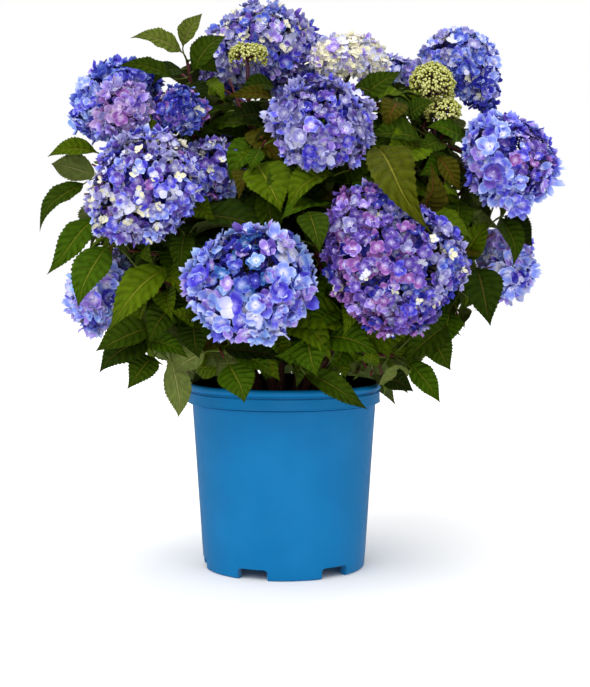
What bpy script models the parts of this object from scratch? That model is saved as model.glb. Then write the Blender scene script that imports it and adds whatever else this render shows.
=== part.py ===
# A mophead hydrangea in its nursery pot. Metres, +Z up, and the origin is the centre of the pot's
# flat underside. The front is -Y. Each cane rises from the soil to its own mass of leaves, whose
# shoots each end under a flower head.

import math
import random
from collections import namedtuple

import bmesh
import bpy
from mathutils import Matrix, Vector
from mathutils.bvhtree import BVHTree
from mathutils.geometry import interpolate_bezier

GAP = 0.0003  # between solids that touch
UP = Vector((0, 0, 1))
FRONT = Vector((0, -1, 0))

# The pot: a thin tapered tub with a band and a rolled lip, and notches round its foot.
POT_HEIGHT = 0.222
POT_WALL = 0.002
POT_FLOOR = 0.003
FOOT_RADIUS = 0.097
FOOT_ROUNDING = 0.003
BODY_RADIUS = 0.110
BAND_RADIUS = 0.115
BAND_BOTTOM = 0.1985
GROOVE_BOTTOM = 0.2105
LIP_RADIUS = 0.1175
LIP_HEIGHT = 0.008
POT_EDGE = 0.001  # the small bevels of the band and the lip
POT_STEPS = 36
NOTCH_COUNT = 6
NOTCH_WIDTH = 0.037
NOTCH_HEIGHT = 0.013
NOTCH_ROUNDING = 0.004
NOTCH_TURN = math.radians(-22)  # the first notch, from the front towards +X

SOIL_TOP = 0.190
SOIL_DROP = 0.003  # the soil is that much lower at the wall than round the canes
SOIL_FLAT_RADIUS = 0.052
SOIL_FOOT_RADIUS = 0.084  # the plug behind the notches
SOIL_CLEARANCE = 0.0002  # more from the wall, because both are faceted

# The canes stand on the soil in two rings.
INNER_RING = 0.014
OUTER_RING = 0.036
CANE_RADIUS = 0.0042
CANE_FLARE = 1.4
CANE_TIP_RADIUS = 0.0032
CANE_STEPS = 5
CANE_SIDES = 6

STEM_LENGTH = 0.030  # the start of each mass, from its cane's tip
SHOOT_RADIUS = 0.0026
SHOOT_TIP_RADIUS = 0.0022
SHOOT_STEPS = 5
SHOOT_SIDES = 5
LEAFY_SIDES = 4
LEAFY_TIP_RADIUS = 0.0018
FIRST_FORK = 0.35  # where the lowest and the highest shoots leave the stem, by its length
LAST_FORK = 0.88
TWIG_END = 0.003  # no leaf is rooted nearer than this to a shoot's tip
PEDUNCLE = 0.025  # bare stalk under each flower head

# Leaves grow in crossed pairs along each shoot, counted from its tip.
FIRST_PAIR = 0.012
PAIR_SPACING = 0.030
PAIRS_MOST = 5
LEAF_LENGTH = 0.098
LEAF_SLENDERNESS = 0.52  # width over length
PETIOLE = 0.026
PETIOLE_RADIUS = 0.0016
ROOT_SINK = 0.0009  # past the line of the shoot
LEAF_THICKNESS = 0.0026
LEAF_ARCH = 0.04  # rise of its sides over the line from foot to tip, by length
LEAF_FOLD = 0.10  # and by half width
LEAF_CLEARANCE = 0.0008
WIDEST = 0.45  # along the blade
TRIES = 8
CROWN_CENTRE = Vector((0.010, 0.005, 0.400))
CROWN_REACH = Vector((0.250, 0.250, 0.205))
RIM_CLEARANCE = 0.006

HEAD_SEGMENTS = 10
HEAD_RINGS = 8
HEAD_KNOBS = 0.09  # how deep the hollows between florets are, by radius
BUD_SEGMENTS = 9
BUD_RINGS = 6

LEAF_GREEN = (0.075, 0.150, 0.020)
STEM_RED = (0.130, 0.050, 0.035)
POT_BLUE = (0.008, 0.170, 0.450)
SOIL_BROWN = (0.030, 0.018, 0.012)

PERIWINKLE = (0.130, 0.150, 0.620)
VIOLET = (0.190, 0.080, 0.480)
LILAC = (0.330, 0.250, 0.620)
DEEP_BLUE = (0.045, 0.055, 0.400)
CREAM = (0.700, 0.670, 0.460)
BUD_GREEN = (0.280, 0.340, 0.080)

# A flower head: the centre of its widest ring, its half width, the way it faces, its height over
# its width, and its colour. A cluster of buds is a small head with fewer facets.
Head = namedtuple("Head", "place radius facing height colour")
# A mass: the fork at its cane's tip, the ring its cane stands in, its heads, the tips of its
# shoots that bear only leaves, and the leaves that frame it: the foot of the blade, its tip, its
# width, and 1 with the upper side to the front or -1 with the underside.
Mass = namedtuple("Mass", "fork ring heads leafy framing")

MASSES = {
    "front": Mass(
        (-0.020, -0.075, 0.262),
        OUTER_RING,
        {"front": Head((-0.035, -0.200, 0.345), 0.070, (-0.15, -0.85, 0.45), 0.72, PERIWINKLE)},
        [(-0.065, -0.140, 0.268), (-0.140, -0.110, 0.272)],
        [
            ((-0.155, -0.120, 0.280), (-0.105, -0.145, 0.265), 0.025, 1),
            ((-0.145, -0.120, 0.260), (-0.170, -0.150, 0.230), 0.035, 1),
            ((-0.125, -0.130, 0.260), (-0.110, -0.150, 0.195), 0.030, -1),
            ((-0.060, -0.150, 0.255), (-0.040, -0.170, 0.215), 0.040, 1),
            ((-0.065, -0.150, 0.272), (0.005, -0.170, 0.260), 0.027, 1),
        ],
    ),
    "left": Mass(
        (-0.085, -0.055, 0.290),
        OUTER_RING,
        {
            "left": Head((-0.148, -0.165, 0.445), 0.066, (-0.35, -0.75, 0.50), 0.75, VIOLET),
            "left_low": Head((-0.219, -0.020, 0.326), 0.054, (-0.90, -0.20, 0.35), 0.75, PERIWINKLE),
        },
        [(-0.206, -0.078, 0.488), (-0.150, -0.115, 0.345)],
        [
            ((-0.210, -0.090, 0.490), (-0.265, -0.100, 0.490), 0.022, 1),
            ((-0.210, -0.090, 0.462), (-0.258, -0.120, 0.475), 0.032, -1),
            ((-0.225, -0.090, 0.455), (-0.275, -0.130, 0.410), 0.025, 1),
            ((-0.210, -0.105, 0.415), (-0.255, -0.140, 0.355), 0.032, 1),
            ((-0.195, -0.130, 0.385), (-0.225, -0.165, 0.320), 0.040, 1),
            ((-0.125, -0.150, 0.360), (-0.187, -0.180, 0.297), 0.040, 1),
            ((-0.108, -0.140, 0.395), (-0.110, -0.175, 0.350), 0.027, 1),
            ((-0.145, -0.130, 0.295), (-0.205, -0.150, 0.268), 0.037, 1),
        ],
    ),
    "upper_left": Mass(
        (-0.060, -0.020, 0.355),
        INNER_RING,
        {
            "upper_left": Head((-0.195, -0.020, 0.552), 0.056, (-0.60, -0.20, 0.75), 0.80, PERIWINKLE),
            "upper_left_dusky": Head((-0.176, -0.118, 0.534), 0.034, (-0.30, -0.70, 0.60), 0.80, LILAC),
            "upper_left_inner": Head((-0.116, -0.092, 0.535), 0.032, (0.00, -0.60, 0.80), 0.80, VIOLET),
            "left_inner": Head((-0.078, -0.085, 0.466), 0.042, (0.10, -0.60, 0.80), 0.80, VIOLET),
        },
        [(-0.112, -0.040, 0.600)],
        [
            ((-0.116, -0.060, 0.603), (-0.171, -0.080, 0.617), 0.024, 1),
            ((-0.114, -0.055, 0.615), (-0.094, -0.060, 0.648), 0.020, 1),
            ((-0.100, -0.055, 0.583), (-0.055, -0.040, 0.618), 0.029, 1),
            ((-0.125, -0.065, 0.575), (-0.184, -0.100, 0.590), 0.021, 1),
            ((-0.002, -0.080, 0.412), (-0.091, -0.100, 0.411), 0.025, 1),
        ],
    ),
    "top": Mass(
        (-0.005, -0.015, 0.375),
        INNER_RING,
        {
            "top": Head((-0.027, 0.040, 0.614), 0.077, (-0.10, 0.00, 1.00), 0.80, PERIWINKLE),
            "centre": Head((0.041, -0.160, 0.514), 0.058, (0.05, -0.80, 0.60), 0.72, LILAC),
            "top_buds": Head((-0.041, -0.060, 0.602), 0.024, (0.00, -0.15, 1.00), 0.45, BUD_GREEN),
        },
        [(-0.020, -0.105, 0.465)],
        [
            ((-0.011, -0.072, 0.549), (-0.065, -0.092, 0.551), 0.018, 1),
            ((-0.040, -0.050, 0.512), (-0.100, -0.065, 0.514), 0.027, 1),
            ((0.011, -0.100, 0.467), (-0.068, -0.120, 0.485), 0.029, 1),
            ((-0.029, -0.130, 0.475), (-0.001, -0.175, 0.422), 0.050, 1),
        ],
    ),
    "top_right": Mass(
        (0.048, 0.015, 0.375),
        INNER_RING,
        {
            "top_pale": Head((0.075, -0.030, 0.598), 0.053, (0.10, -0.20, 1.00), 0.60, CREAM),
            "top_back": Head((0.136, 0.100, 0.590), 0.040, (0.20, 0.30, 0.90), 0.75, PERIWINKLE),
            "right_buds": Head((0.177, -0.080, 0.557), 0.032, (0.10, -0.25, 0.95), 0.98, BUD_GREEN),
        },
        [(0.085, -0.055, 0.545)],
        [((0.094, -0.090, 0.550), (0.130, -0.103, 0.580), 0.022, 1)],
    ),
    "right": Mass(
        (0.105, -0.020, 0.345),
        OUTER_RING,
        {
            "right_high": Head((0.211, 0.000, 0.591), 0.054, (0.45, -0.15, 0.85), 0.88, DEEP_BLUE),
            "right": Head((0.253, -0.090, 0.477), 0.058, (0.50, -0.75, 0.35), 0.75, VIOLET),
        },
        [(0.200, -0.055, 0.475)],
        [
            ((0.199, -0.080, 0.435), (0.194, -0.115, 0.384), 0.032, 1),
            ((0.196, -0.080, 0.483), (0.151, -0.130, 0.463), 0.030, 1),
            ((0.208, -0.075, 0.505), (0.161, -0.112, 0.521), 0.025, 1),
        ],
    ),
    "front_right": Mass(
        (0.050, -0.075, 0.265),
        OUTER_RING,
        {"front_right": Head((0.117, -0.185, 0.361), 0.080, (0.20, -0.85, 0.40), 0.70, VIOLET)},
        [(0.030, -0.135, 0.300), (0.125, -0.115, 0.262), (0.085, -0.115, 0.475), (0.035, -0.135, 0.395)],
        [
            ((0.024, -0.155, 0.289), (0.035, -0.185, 0.245), 0.041, 1),
            ((0.044, -0.150, 0.284), (0.103, -0.185, 0.272), 0.036, 1),
            ((0.023, -0.140, 0.242), (0.092, -0.160, 0.207), 0.027, 1),
            ((0.142, -0.140, 0.246), (0.100, -0.165, 0.234), 0.023, -1),
            ((0.138, -0.125, 0.258), (0.175, -0.140, 0.212), 0.027, 1),
            ((0.028, -0.190, 0.420), (0.038, -0.240, 0.378), 0.032, 1),
            ((0.030, -0.150, 0.351), (0.028, -0.180, 0.306), 0.032, 1),
            ((0.101, -0.150, 0.492), (0.138, -0.243, 0.409), 0.048, 1),
            ((0.105, -0.120, 0.450), (0.058, -0.175, 0.430), 0.024, -1),
        ],
    ),
    "low_right": Mass(
        (0.095, 0.030, 0.285),
        OUTER_RING,
        {
            "right_low": Head((0.262, 0.020, 0.363), 0.046, (0.90, -0.30, 0.35), 0.85, PERIWINKLE),
            "back_right_low": Head((0.205, 0.125, 0.390), 0.055, (0.80, 0.50, 0.35), 0.75, VIOLET),
        },
        [(0.185, -0.095, 0.295), (0.238, -0.032, 0.405)],
        [
            ((0.183, -0.120, 0.296), (0.131, -0.160, 0.258), 0.036, 1),
            ((0.252, -0.050, 0.417), (0.269, -0.075, 0.364), 0.027, 1),
            ((0.218, -0.050, 0.329), (0.218, -0.130, 0.296), 0.048, 1),
        ],
    ),
    "back_left": Mass(
        (-0.070, 0.055, 0.310),
        OUTER_RING,
        {
            "back_left": Head((-0.170, 0.140, 0.460), 0.064, (-0.50, 0.70, 0.50), 0.75, PERIWINKLE),
            "back_left_high": Head((-0.100, 0.135, 0.548), 0.050, (-0.30, 0.50, 0.80), 0.80, LILAC),
            "back_left_low": Head((-0.195, 0.105, 0.335), 0.052, (-0.80, 0.50, 0.25), 0.75, VIOLET),
        },
        [(-0.160, 0.125, 0.265), (-0.225, 0.050, 0.440)],
        [],
    ),
    "back": Mass(
        (-0.005, 0.078, 0.270),
        OUTER_RING,
        {
            "back": Head((-0.045, 0.205, 0.415), 0.068, (-0.10, 0.90, 0.40), 0.75, VIOLET),
            "back_low": Head((0.060, 0.200, 0.325), 0.060, (0.10, 0.95, 0.25), 0.75, PERIWINKLE),
        },
        [(-0.060, 0.150, 0.262), (0.020, 0.190, 0.250)],
        [],
    ),
    "back_right": Mass(
        (0.045, 0.060, 0.330),
        OUTER_RING,
        {
            "back_right": Head((0.120, 0.190, 0.455), 0.066, (0.35, 0.80, 0.50), 0.75, PERIWINKLE),
            "back_top": Head((0.040, 0.145, 0.550), 0.060, (0.10, 0.55, 0.85), 0.80, VIOLET),
        },
        [(0.150, 0.130, 0.270), (0.215, 0.060, 0.490)],
        [],
    ),
}

Limb = namedtuple("Limb", "points radii sides")
# A leaf's root inside its shoot, the foot and tip of its blade, its width, and which way is up.
Leaf = namedtuple("Leaf", "root foot tip width up")


def material(name, colour, roughness):
    finish = bpy.data.materials.new(name)
    finish.use_nodes = True
    shader = finish.node_tree.nodes["Principled BSDF"]
    shader.inputs["Base Color"].default_value = (*colour, 1)
    shader.inputs["Roughness"].default_value = roughness
    shader.inputs["Metallic"].default_value = 0
    finish.diffuse_color = (*colour, 1)
    return finish


def add_object(name, bm, finish, collection):
    facing_out(bm)
    mesh = bpy.data.meshes.new(name)
    bm.to_mesh(mesh)
    bm.free()
    mesh.materials.append(finish)
    obj = bpy.data.objects.new(name, mesh)
    collection.objects.link(obj)
    return obj


def turned(name, profile, finish, collection, steps=POT_STEPS):
    """A closed profile of (radius, height) points spun round the Z axis by a Screw. It runs down
    the outer side, and has no edge along the axis."""
    mesh = bpy.data.meshes.new(name)
    pairs = [(i, (i + 1) % len(profile)) for i in range(len(profile))]
    edges = [(i, j) for i, j in pairs if profile[i][0] or profile[j][0]]
    mesh.from_pydata([(radius, 0, height) for radius, height in profile], edges, [])
    mesh.materials.append(finish)
    obj = bpy.data.objects.new(name, mesh)
    collection.objects.link(obj)
    screw = obj.modifiers.new("spin", "SCREW")
    screw.steps = screw.render_steps = steps
    screw.use_merge_vertices = True
    screw.merge_threshold = 0.00001
    screw.use_smooth_shade = True
    return obj


def apply_modifiers(obj):
    graph = bpy.context.evaluated_depsgraph_get()
    mesh = bpy.data.meshes.new_from_object(obj.evaluated_get(graph))
    obj.modifiers.clear()
    obj.data = mesh


def body_radius(height):
    return FOOT_RADIUS + (BODY_RADIUS - FOOT_RADIUS) * height / BAND_BOTTOM


def rounding(centre, radius, start, end, steps=3):
    """Points along an arc, with angles in degrees from the radius towards +Z."""
    angles = [math.radians(start + (end - start) * i / steps) for i in range(steps + 1)]
    return [(centre[0] + radius * math.cos(a), centre[1] + radius * math.sin(a)) for a in angles]


def pot(parts, cutters):
    lip = LIP_HEIGHT / 2
    lip_centre = (LIP_RADIUS - lip, POT_HEIGHT - lip)
    foot_centre = (FOOT_RADIUS - FOOT_ROUNDING, FOOT_ROUNDING)
    outside = [
        *rounding(lip_centre, lip, 90, -60, 4),
        (BAND_RADIUS - POT_EDGE, GROOVE_BOTTOM + POT_EDGE),
        (BAND_RADIUS, GROOVE_BOTTOM),
        (BAND_RADIUS, BAND_BOTTOM + POT_EDGE),
        (BAND_RADIUS - POT_EDGE, BAND_BOTTOM),
        (BODY_RADIUS, BAND_BOTTOM),
        *rounding(foot_centre, FOOT_ROUNDING, 0, -90),
        (0, 0),
    ]
    inside = [
        (0, POT_FLOOR),
        (body_radius(POT_FLOOR) - POT_WALL, POT_FLOOR),
        (body_radius(BAND_BOTTOM) - POT_WALL, BAND_BOTTOM),
        (BAND_RADIUS - POT_WALL, BAND_BOTTOM + POT_WALL),
        (BAND_RADIUS - POT_WALL, POT_HEIGHT - POT_EDGE),
    ]
    tub = turned("pot", outside + inside, material("pot_plastic", POT_BLUE, 0.35), parts)
    apply_modifiers(tub)
    for index in range(NOTCH_COUNT):
        turn = NOTCH_TURN + index * math.tau / NOTCH_COUNT
        cutter = notch(f"notch_{index + 1}", turn, tub.data.materials[0], cutters)
        cut = tub.modifiers.new(cutter.name, "BOOLEAN")
        cut.operation = "DIFFERENCE"
        cut.object = cutter
    tub.data.set_sharp_from_angle(angle=math.radians(40))
    return tub


def notch(name, turn, finish, cutters):
    """A block with its two top edges rounded, which cuts the wall and the floor's rim away."""
    bm = bmesh.new()
    bmesh.ops.create_cube(bm, size=1)
    bmesh.ops.scale(bm, vec=(NOTCH_WIDTH, 0.030, 2 * NOTCH_HEIGHT), verts=bm.verts)
    top = [e for e in bm.edges if all(v.co.z > 0 and abs(v.co.x) > 0 for v in e.verts)]
    top = [e for e in top if abs(e.verts[0].co.x - e.verts[1].co.x) < 1e-6]
    bmesh.ops.bevel(
        bm, geom=top, offset=NOTCH_ROUNDING, segments=2, profile=0.5, affect="EDGES", material=-1
    )
    obj = add_object(name, bm, finish, cutters)
    obj.matrix_world = Matrix.Rotation(turn, 4, "Z") @ Matrix.Translation((0, -FOOT_RADIUS, 0))
    obj.hide_render = True
    obj.display_type = "WIRE"
    return obj


def soil(parts):
    """Fills the pot: a plug behind the notches, then out to the wall."""
    clear = POT_WALL + GAP + SOIL_CLEARANCE
    ledge = NOTCH_HEIGHT + 0.003
    profile = [
        (0, SOIL_TOP),
        (SOIL_FLAT_RADIUS, SOIL_TOP),
        (body_radius(SOIL_TOP) - clear, SOIL_TOP - SOIL_DROP),
        (body_radius(ledge) - clear, ledge),
        (SOIL_FOOT_RADIUS, ledge),
        (SOIL_FOOT_RADIUS, POT_FLOOR + GAP),
        (0, POT_FLOOR + GAP),
    ]
    filling = turned("soil", profile, material("potting_soil", SOIL_BROWN, 0.95), parts)
    apply_modifiers(filling)
    return filling


def limb(start, start_way, end, end_way, radii, steps, sides, bend=0.38):
    """A limb that leaves one point in one direction and reaches another in another."""
    reach = (end - start).length * bend
    handles = start + start_way * reach, end - end_way * reach
    points = interpolate_bezier(start, *handles, end, steps + 1)
    taper = [radii[0] + (radii[1] - radii[0]) * i / steps for i in range(steps + 1)]
    return Limb(points, taper, sides)


def tube(path, ways):
    """A tapering tube with flat ends square to the ways given, as a new bmesh."""
    bm = bmesh.new()
    tangents = [b - a for a, b in zip(path.points, path.points[1:])]
    middles = [(a.normalized() + b.normalized()) for a, b in zip(tangents, tangents[1:])]
    tangents = [ways[0], *middles, ways[1]]
    turn = UP.rotation_difference(tangents[0])
    place = Matrix.LocRotScale(path.points[0], turn, Vector((1, 1, 1)) * path.radii[0])
    bmesh.ops.create_circle(bm, cap_ends=True, segments=path.sides, radius=1, matrix=place)
    cap = next(iter(bm.faces))
    for point, radius, before, way in zip(
        path.points[1:], path.radii[1:], tangents, tangents[1:], strict=False
    ):
        turn = before.rotation_difference(way) @ turn
        after = Matrix.LocRotScale(point, turn, Vector((1, 1, 1)) * radius)
        inner = [cap] if len(bm.faces) > 1 else []
        moved = bmesh.ops.extrude_face_region(bm, geom=[cap])["geom"]
        cap = next(item for item in moved if isinstance(item, bmesh.types.BMFace))
        bmesh.ops.delete(bm, geom=inner, context="FACES_ONLY")
        bmesh.ops.transform(bm, matrix=after @ place.inverted(), verts=cap.verts)
        place = after
    return facing_out(bm)


def leaf_shape(leaf, grow=0.0):
    """A flat leaf of twelve faces: a stalk that widens from its root to the foot of the blade, where
    it is as thick as it is wide, then the blade's two sides and its tip."""
    bm = bmesh.new()
    bmesh.ops.create_uvsphere(bm, u_segments=6, v_segments=2, radius=1)
    blade = leaf.tip - leaf.foot
    length = blade.length
    along = blade.normalized()
    across = along.cross(leaf.up).normalized()
    up = across.cross(along)
    half = leaf.width / 2
    for vert in bm.verts:
        y, x, z = vert.co
        if x > 0.9:
            vert.co = leaf.tip + along * grow
        elif x > 0.1:
            rise = LEAF_ARCH * length + LEAF_FOLD * half
            side = across * math.copysign(half + grow, y)
            vert.co = leaf.foot + along * WIDEST * length + side + up * rise
        elif x > -0.1:
            vert.co = leaf.foot + up * math.copysign(LEAF_THICKNESS / 2 + grow, z)
        elif x > -0.9:
            vert.co = leaf.foot + across * math.copysign(PETIOLE_RADIUS + grow, y)
        else:
            vert.co = leaf.root + (leaf.root - leaf.foot).normalized() * ROOT_SINK
    return bm


def facing_out(bm):
    """Turns every face outward: a concave shape can mislead recalc_face_normals as a whole."""
    bmesh.ops.recalc_face_normals(bm, faces=bm.faces)
    if bm.calc_volume(signed=True) < 0:
        bmesh.ops.reverse_faces(bm, faces=bm.faces)
    return bm


def tree_of(bm):
    tree = BVHTree.FromBMesh(bm)
    bm.free()
    return tree


def head_shape(head, segments, rings, seed):
    """A knobbly dome: fuller above its widest ring than below it."""
    rng = random.Random(seed)
    bm = bmesh.new()
    bmesh.ops.create_uvsphere(bm, u_segments=segments, v_segments=rings, radius=1)
    above, below = head_depths(head)
    for vert in bm.verts:
        knob = 1 + HEAD_KNOBS * (0.6 - rng.random())
        x, y, z = vert.co * knob
        vert.co = Vector((x * head.radius, y * head.radius, z * (above if z > 0 else below)))
    facing = Vector(head.facing).normalized()
    turn = UP.rotation_difference(facing)
    bmesh.ops.transform(bm, matrix=Matrix.LocRotScale(Vector(head.place), turn, None), verts=bm.verts)
    return bm


def head_depths(head):
    """How far the dome reaches above and below its widest ring."""
    whole = 2 * head.radius * head.height
    return whole * 0.58, whole * 0.42


def stalk_end(head):
    """Where the bare stalk under a head starts, and its direction."""
    facing = Vector(head.facing).normalized()
    return Vector(head.place) - facing * (head_depths(head)[1] + PEDUNCLE), facing


def cane_foot(mass):
    """A place on the soil towards the mass's side, and straight up."""
    side = Vector((mass.fork[0], mass.fork[1], 0)).normalized()
    return side * mass.ring + UP * (SOIL_TOP + GAP)


def cane_limb(mass):
    foot = cane_foot(mass)
    fork = Vector(mass.fork)
    way = cane_way(mass)
    path = limb(foot, UP, fork, way, (CANE_RADIUS, CANE_TIP_RADIUS), CANE_STEPS, CANE_SIDES)
    path.radii[0] *= CANE_FLARE
    return path, (UP, way)


def cane_way(mass):
    """The cane's direction where it ends: on from its foot, leaning out."""
    run = Vector(mass.fork) - cane_foot(mass)
    return (run.normalized() + UP * 0.35).normalized()


def shoots_of(mass):
    """Each shoot of a mass with the directions of its ends: leafy ones from low on the stem first."""
    ends = []
    for tip in mass.leafy:
        ends.append((Vector(tip), None, SHOOT_RADIUS * 0.9, LEAFY_TIP_RADIUS, LEAFY_SIDES))
    for head in mass.heads.values():
        end, way = stalk_end(head)
        ends.append((end - way * GAP, way, SHOOT_RADIUS, SHOOT_TIP_RADIUS, SHOOT_SIDES))
    found = []
    for number, (end, way, radius, tip_radius, sides) in enumerate(ends):
        share = FIRST_FORK + (LAST_FORK - FIRST_FORK) * number / max(1, len(ends) - 1)
        start = Vector(mass.fork) + cane_way(mass) * (GAP + STEM_LENGTH * share)
        run = (end - start).normalized()
        leaving = (cane_way(mass) * (0.8 if way else 0.5) + run).normalized()
        way = way or (run + UP * 0.4).normalized()
        path = limb(start, leaving, end, way, (radius, tip_radius), SHOOT_STEPS, sides)
        found.append((path, (leaving, way)))
    return found


def stem_of(mass):
    way = cane_way(mass)
    start = Vector(mass.fork) + way * GAP
    path = Limb([start, start + way * STEM_LENGTH], [CANE_TIP_RADIUS, SHOOT_RADIUS * 1.15], CANE_SIDES)
    return path, (way, way)


def nearest_on(paths, point):
    """The point nearest to a place on any of the limbs' lines."""
    best = None
    for path in paths:
        for a, b in zip(path.points, path.points[1:]):
            run = b - a
            most = 1 - TWIG_END / run.length if b == path.points[-1] else 1
            share = max(0.0, min(most, (point - a).dot(run) / run.length_squared))
            spot = a + run * share
            if best is None or (spot - point).length < (best - point).length:
                best = spot
    return best


def framing_leaves(mass, paths):
    for foot, tip, width, side in mass.framing:
        foot, tip = Vector(foot), Vector(tip)
        up = (UP * 0.8 + FRONT * 0.6) if side > 0 else (UP * 0.3 - FRONT)
        yield Leaf(nearest_on(paths, foot), foot, tip, width, up)


def along_from_tip(path, distance):
    """The point and the direction at a distance back from a limb's tip, or None past its start."""
    for b, a in zip(path.points[:0:-1], path.points[-2::-1]):
        run = (b - a).length
        if distance <= run:
            return b.lerp(a, distance / run), (b - a).normalized()
        distance -= run
    return None


def paired_leaves(path, rng):
    """Crossed pairs of leaves down a shoot, each as a list of tries to be taken in turn."""
    turn = rng.uniform(0, math.pi)
    for pair in range(PAIRS_MOST):
        spot = along_from_tip(path, FIRST_PAIR + pair * PAIR_SPACING)
        if spot is None or spot[0].z < POT_HEIGHT:
            return
        point, way = spot
        side = way.orthogonal().normalized()
        for half in range(2):
            angle = turn + pair * math.pi / 2 + half * math.pi
            tries = []
            for _ in range(TRIES):
                swing = rng.uniform(-0.5, 0.5)
                shrink = rng.uniform(0.72, 1.08) * (1 - 0.05 * len(tries))
                out = Matrix.Rotation(angle + swing, 3, way) @ side
                foot = point + (out + way * 0.55).normalized() * PETIOLE * shrink
                droop = rng.uniform(0.15, 0.75)
                blade = (out + way * 0.30 - UP * droop).normalized() * LEAF_LENGTH * shrink
                width = blade.length * LEAF_SLENDERNESS * rng.uniform(0.9, 1.15)
                up = (way + UP * 0.7).normalized()
                tries.append(Leaf(point, foot, foot + blade, width, up))
            yield tries


def within_crown(leaf):
    offset = leaf.tip - CROWN_CENTRE
    reach = Vector(a / b for a, b in zip(offset, CROWN_REACH))
    over_pot = leaf.tip.xy.length > LIP_RADIUS + RIM_CLEARANCE or leaf.tip.z > POT_HEIGHT + RIM_CLEARANCE
    return reach.length < 1 and over_pot and leaf.tip.z > SOIL_TOP


def hides_a_head(leaf, heads):
    """Whether a leaf lies before a head, along the way it faces or as seen from the front."""
    for head in heads:
        place, facing = Vector(head.place), Vector(head.facing).normalized()
        views = [facing, FRONT] if place.y < 0.05 else [facing]
        for share in (0.15, 0.5, 1.0):
            offset = leaf.foot.lerp(leaf.tip, share) - place
            for view in views:
                ahead = offset.dot(view)
                if ahead > 0 and (offset - view * ahead).length < head.radius * 0.92:
                    return True
    return False


def overlaps(tree, others):
    return any(tree.overlap(other) for other in others)


def grow_leaves(limbs, solids):
    """The leaves of every mass: first those that frame it, then pairs wherever they stay clear."""
    heads = [head for mass in MASSES.values() for head in mass.heads.values()]
    grown = {name: [] for name in MASSES}
    blades = {name: [] for name in MASSES}

    def place(name, leaf):
        whole = tree_of(leaf_shape(leaf, LEAF_CLEARANCE))
        others = [tree for other in MASSES if other != name for tree in blades[other]]
        others += [tree for other, trees in solids.items() if other != name for tree in trees]
        if overlaps(whole, others):
            return False
        bare = leaf._replace(root=leaf.foot.lerp(leaf.tip, 0.08))
        bare_tree = tree_of(leaf_shape(bare, LEAF_CLEARANCE))
        if overlaps(bare_tree, solids[name] + blades[name]):
            return False
        grown[name].append(leaf)
        blades[name].append(whole)
        return True

    for name, mass in MASSES.items():
        for index, leaf in enumerate(framing_leaves(mass, limbs[name])):
            if not place(name, leaf):
                print("framing leaf skipped:", name, index)
    for number, name in enumerate(MASSES):
        rng = random.Random(100 + number)
        for path in limbs[name][1:]:
            for tries in paired_leaves(path, rng):
                for leaf in tries:
                    if not within_crown(leaf) or hides_a_head(leaf, heads):
                        continue
                    if place(name, leaf):
                        break
    return grown


def fuse(base, collection):
    """Joins every object of a collection to the base with one Boolean union."""
    union = base.modifiers.new("fuse", "BOOLEAN")
    union.operation = "UNION"
    union.operand_type = "COLLECTION"
    union.collection = collection
    union.solver = "MANIFOLD"
    apply_modifiers(base)
    for obj in list(collection.objects):
        bpy.data.objects.remove(obj)
    keep_largest(base)


def keep_largest(obj):
    """Drops loose scraps, and the inner skin of any hollow that fusing sealed."""
    bm = bmesh.new()
    bm.from_mesh(obj.data)
    islands = []
    left = set(bm.faces)
    while left:
        todo = [left.pop()]
        island = []
        while todo:
            face = todo.pop()
            island.append(face)
            shared = [edge for edge in face.edges if len(edge.link_faces) == 2]
            near = {other for edge in shared for other in edge.link_faces} & left
            left -= near
            todo.extend(near)
        islands.append(island)
    islands.sort(key=lambda faces: sum(face.calc_area() for face in faces))
    for island in islands[:-1]:
        bmesh.ops.delete(bm, geom=island, context="FACES")
    bmesh.ops.triangulate(bm, faces=bm.faces)
    bm.to_mesh(obj.data)
    bm.free()


def build():
    for obj in list(bpy.data.objects):
        bpy.data.objects.remove(obj)
    parts, cutters, pieces = (bpy.data.collections.new(n) for n in ("hydrangea", "cutters", "pieces"))
    for collection in (parts, cutters, pieces):
        bpy.context.scene.collection.children.link(collection)

    tub = pot(parts, cutters)
    filling = soil(parts)
    foliage = material("foliage", LEAF_GREEN, 0.5)
    bark = material("cane_bark", STEM_RED, 0.7)

    limbs, ways, solids = {}, {}, {}
    for name, mass in MASSES.items():
        grown = [stem_of(mass), *shoots_of(mass)]
        limbs[name] = [path for path, _ in grown]
        ways[name] = [way for _, way in grown]
        solids[name] = [tree_of(tube(*one)) for one in grown]

    fixed = []
    for name, mass in MASSES.items():
        cane = add_object(f"cane_{name}", tube(*cane_limb(mass)), bark, parts)
        cane.data.shade_smooth()
        fixed.append(cane)
        for number, (title, head) in enumerate(mass.heads.items()):
            fixed.append(flower_head(title, head, number, parts, pieces))
    for obj in fixed:
        bm = bmesh.new()
        bm.from_mesh(obj.data)
        solids[obj.name] = [tree_of(bm)]
    graph = bpy.context.evaluated_depsgraph_get()
    for obj in (tub, filling):
        solids[obj.name] = [BVHTree.FromObject(obj, graph)]

    grown = grow_leaves(limbs, solids)
    for name in MASSES:
        base, *rest = zip(limbs[name], ways[name])
        stem = add_object(f"leaves_{name}", tube(*base), foliage, parts)
        for one in rest:
            add_object("twig", tube(*one), foliage, pieces)
        for leaf in grown[name]:
            add_object("leaf", leaf_shape(leaf), foliage, pieces)
        fuse(stem, pieces)
        print(stem.name, len(grown[name]), "leaves", len(stem.data.polygons), "faces")


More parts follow.
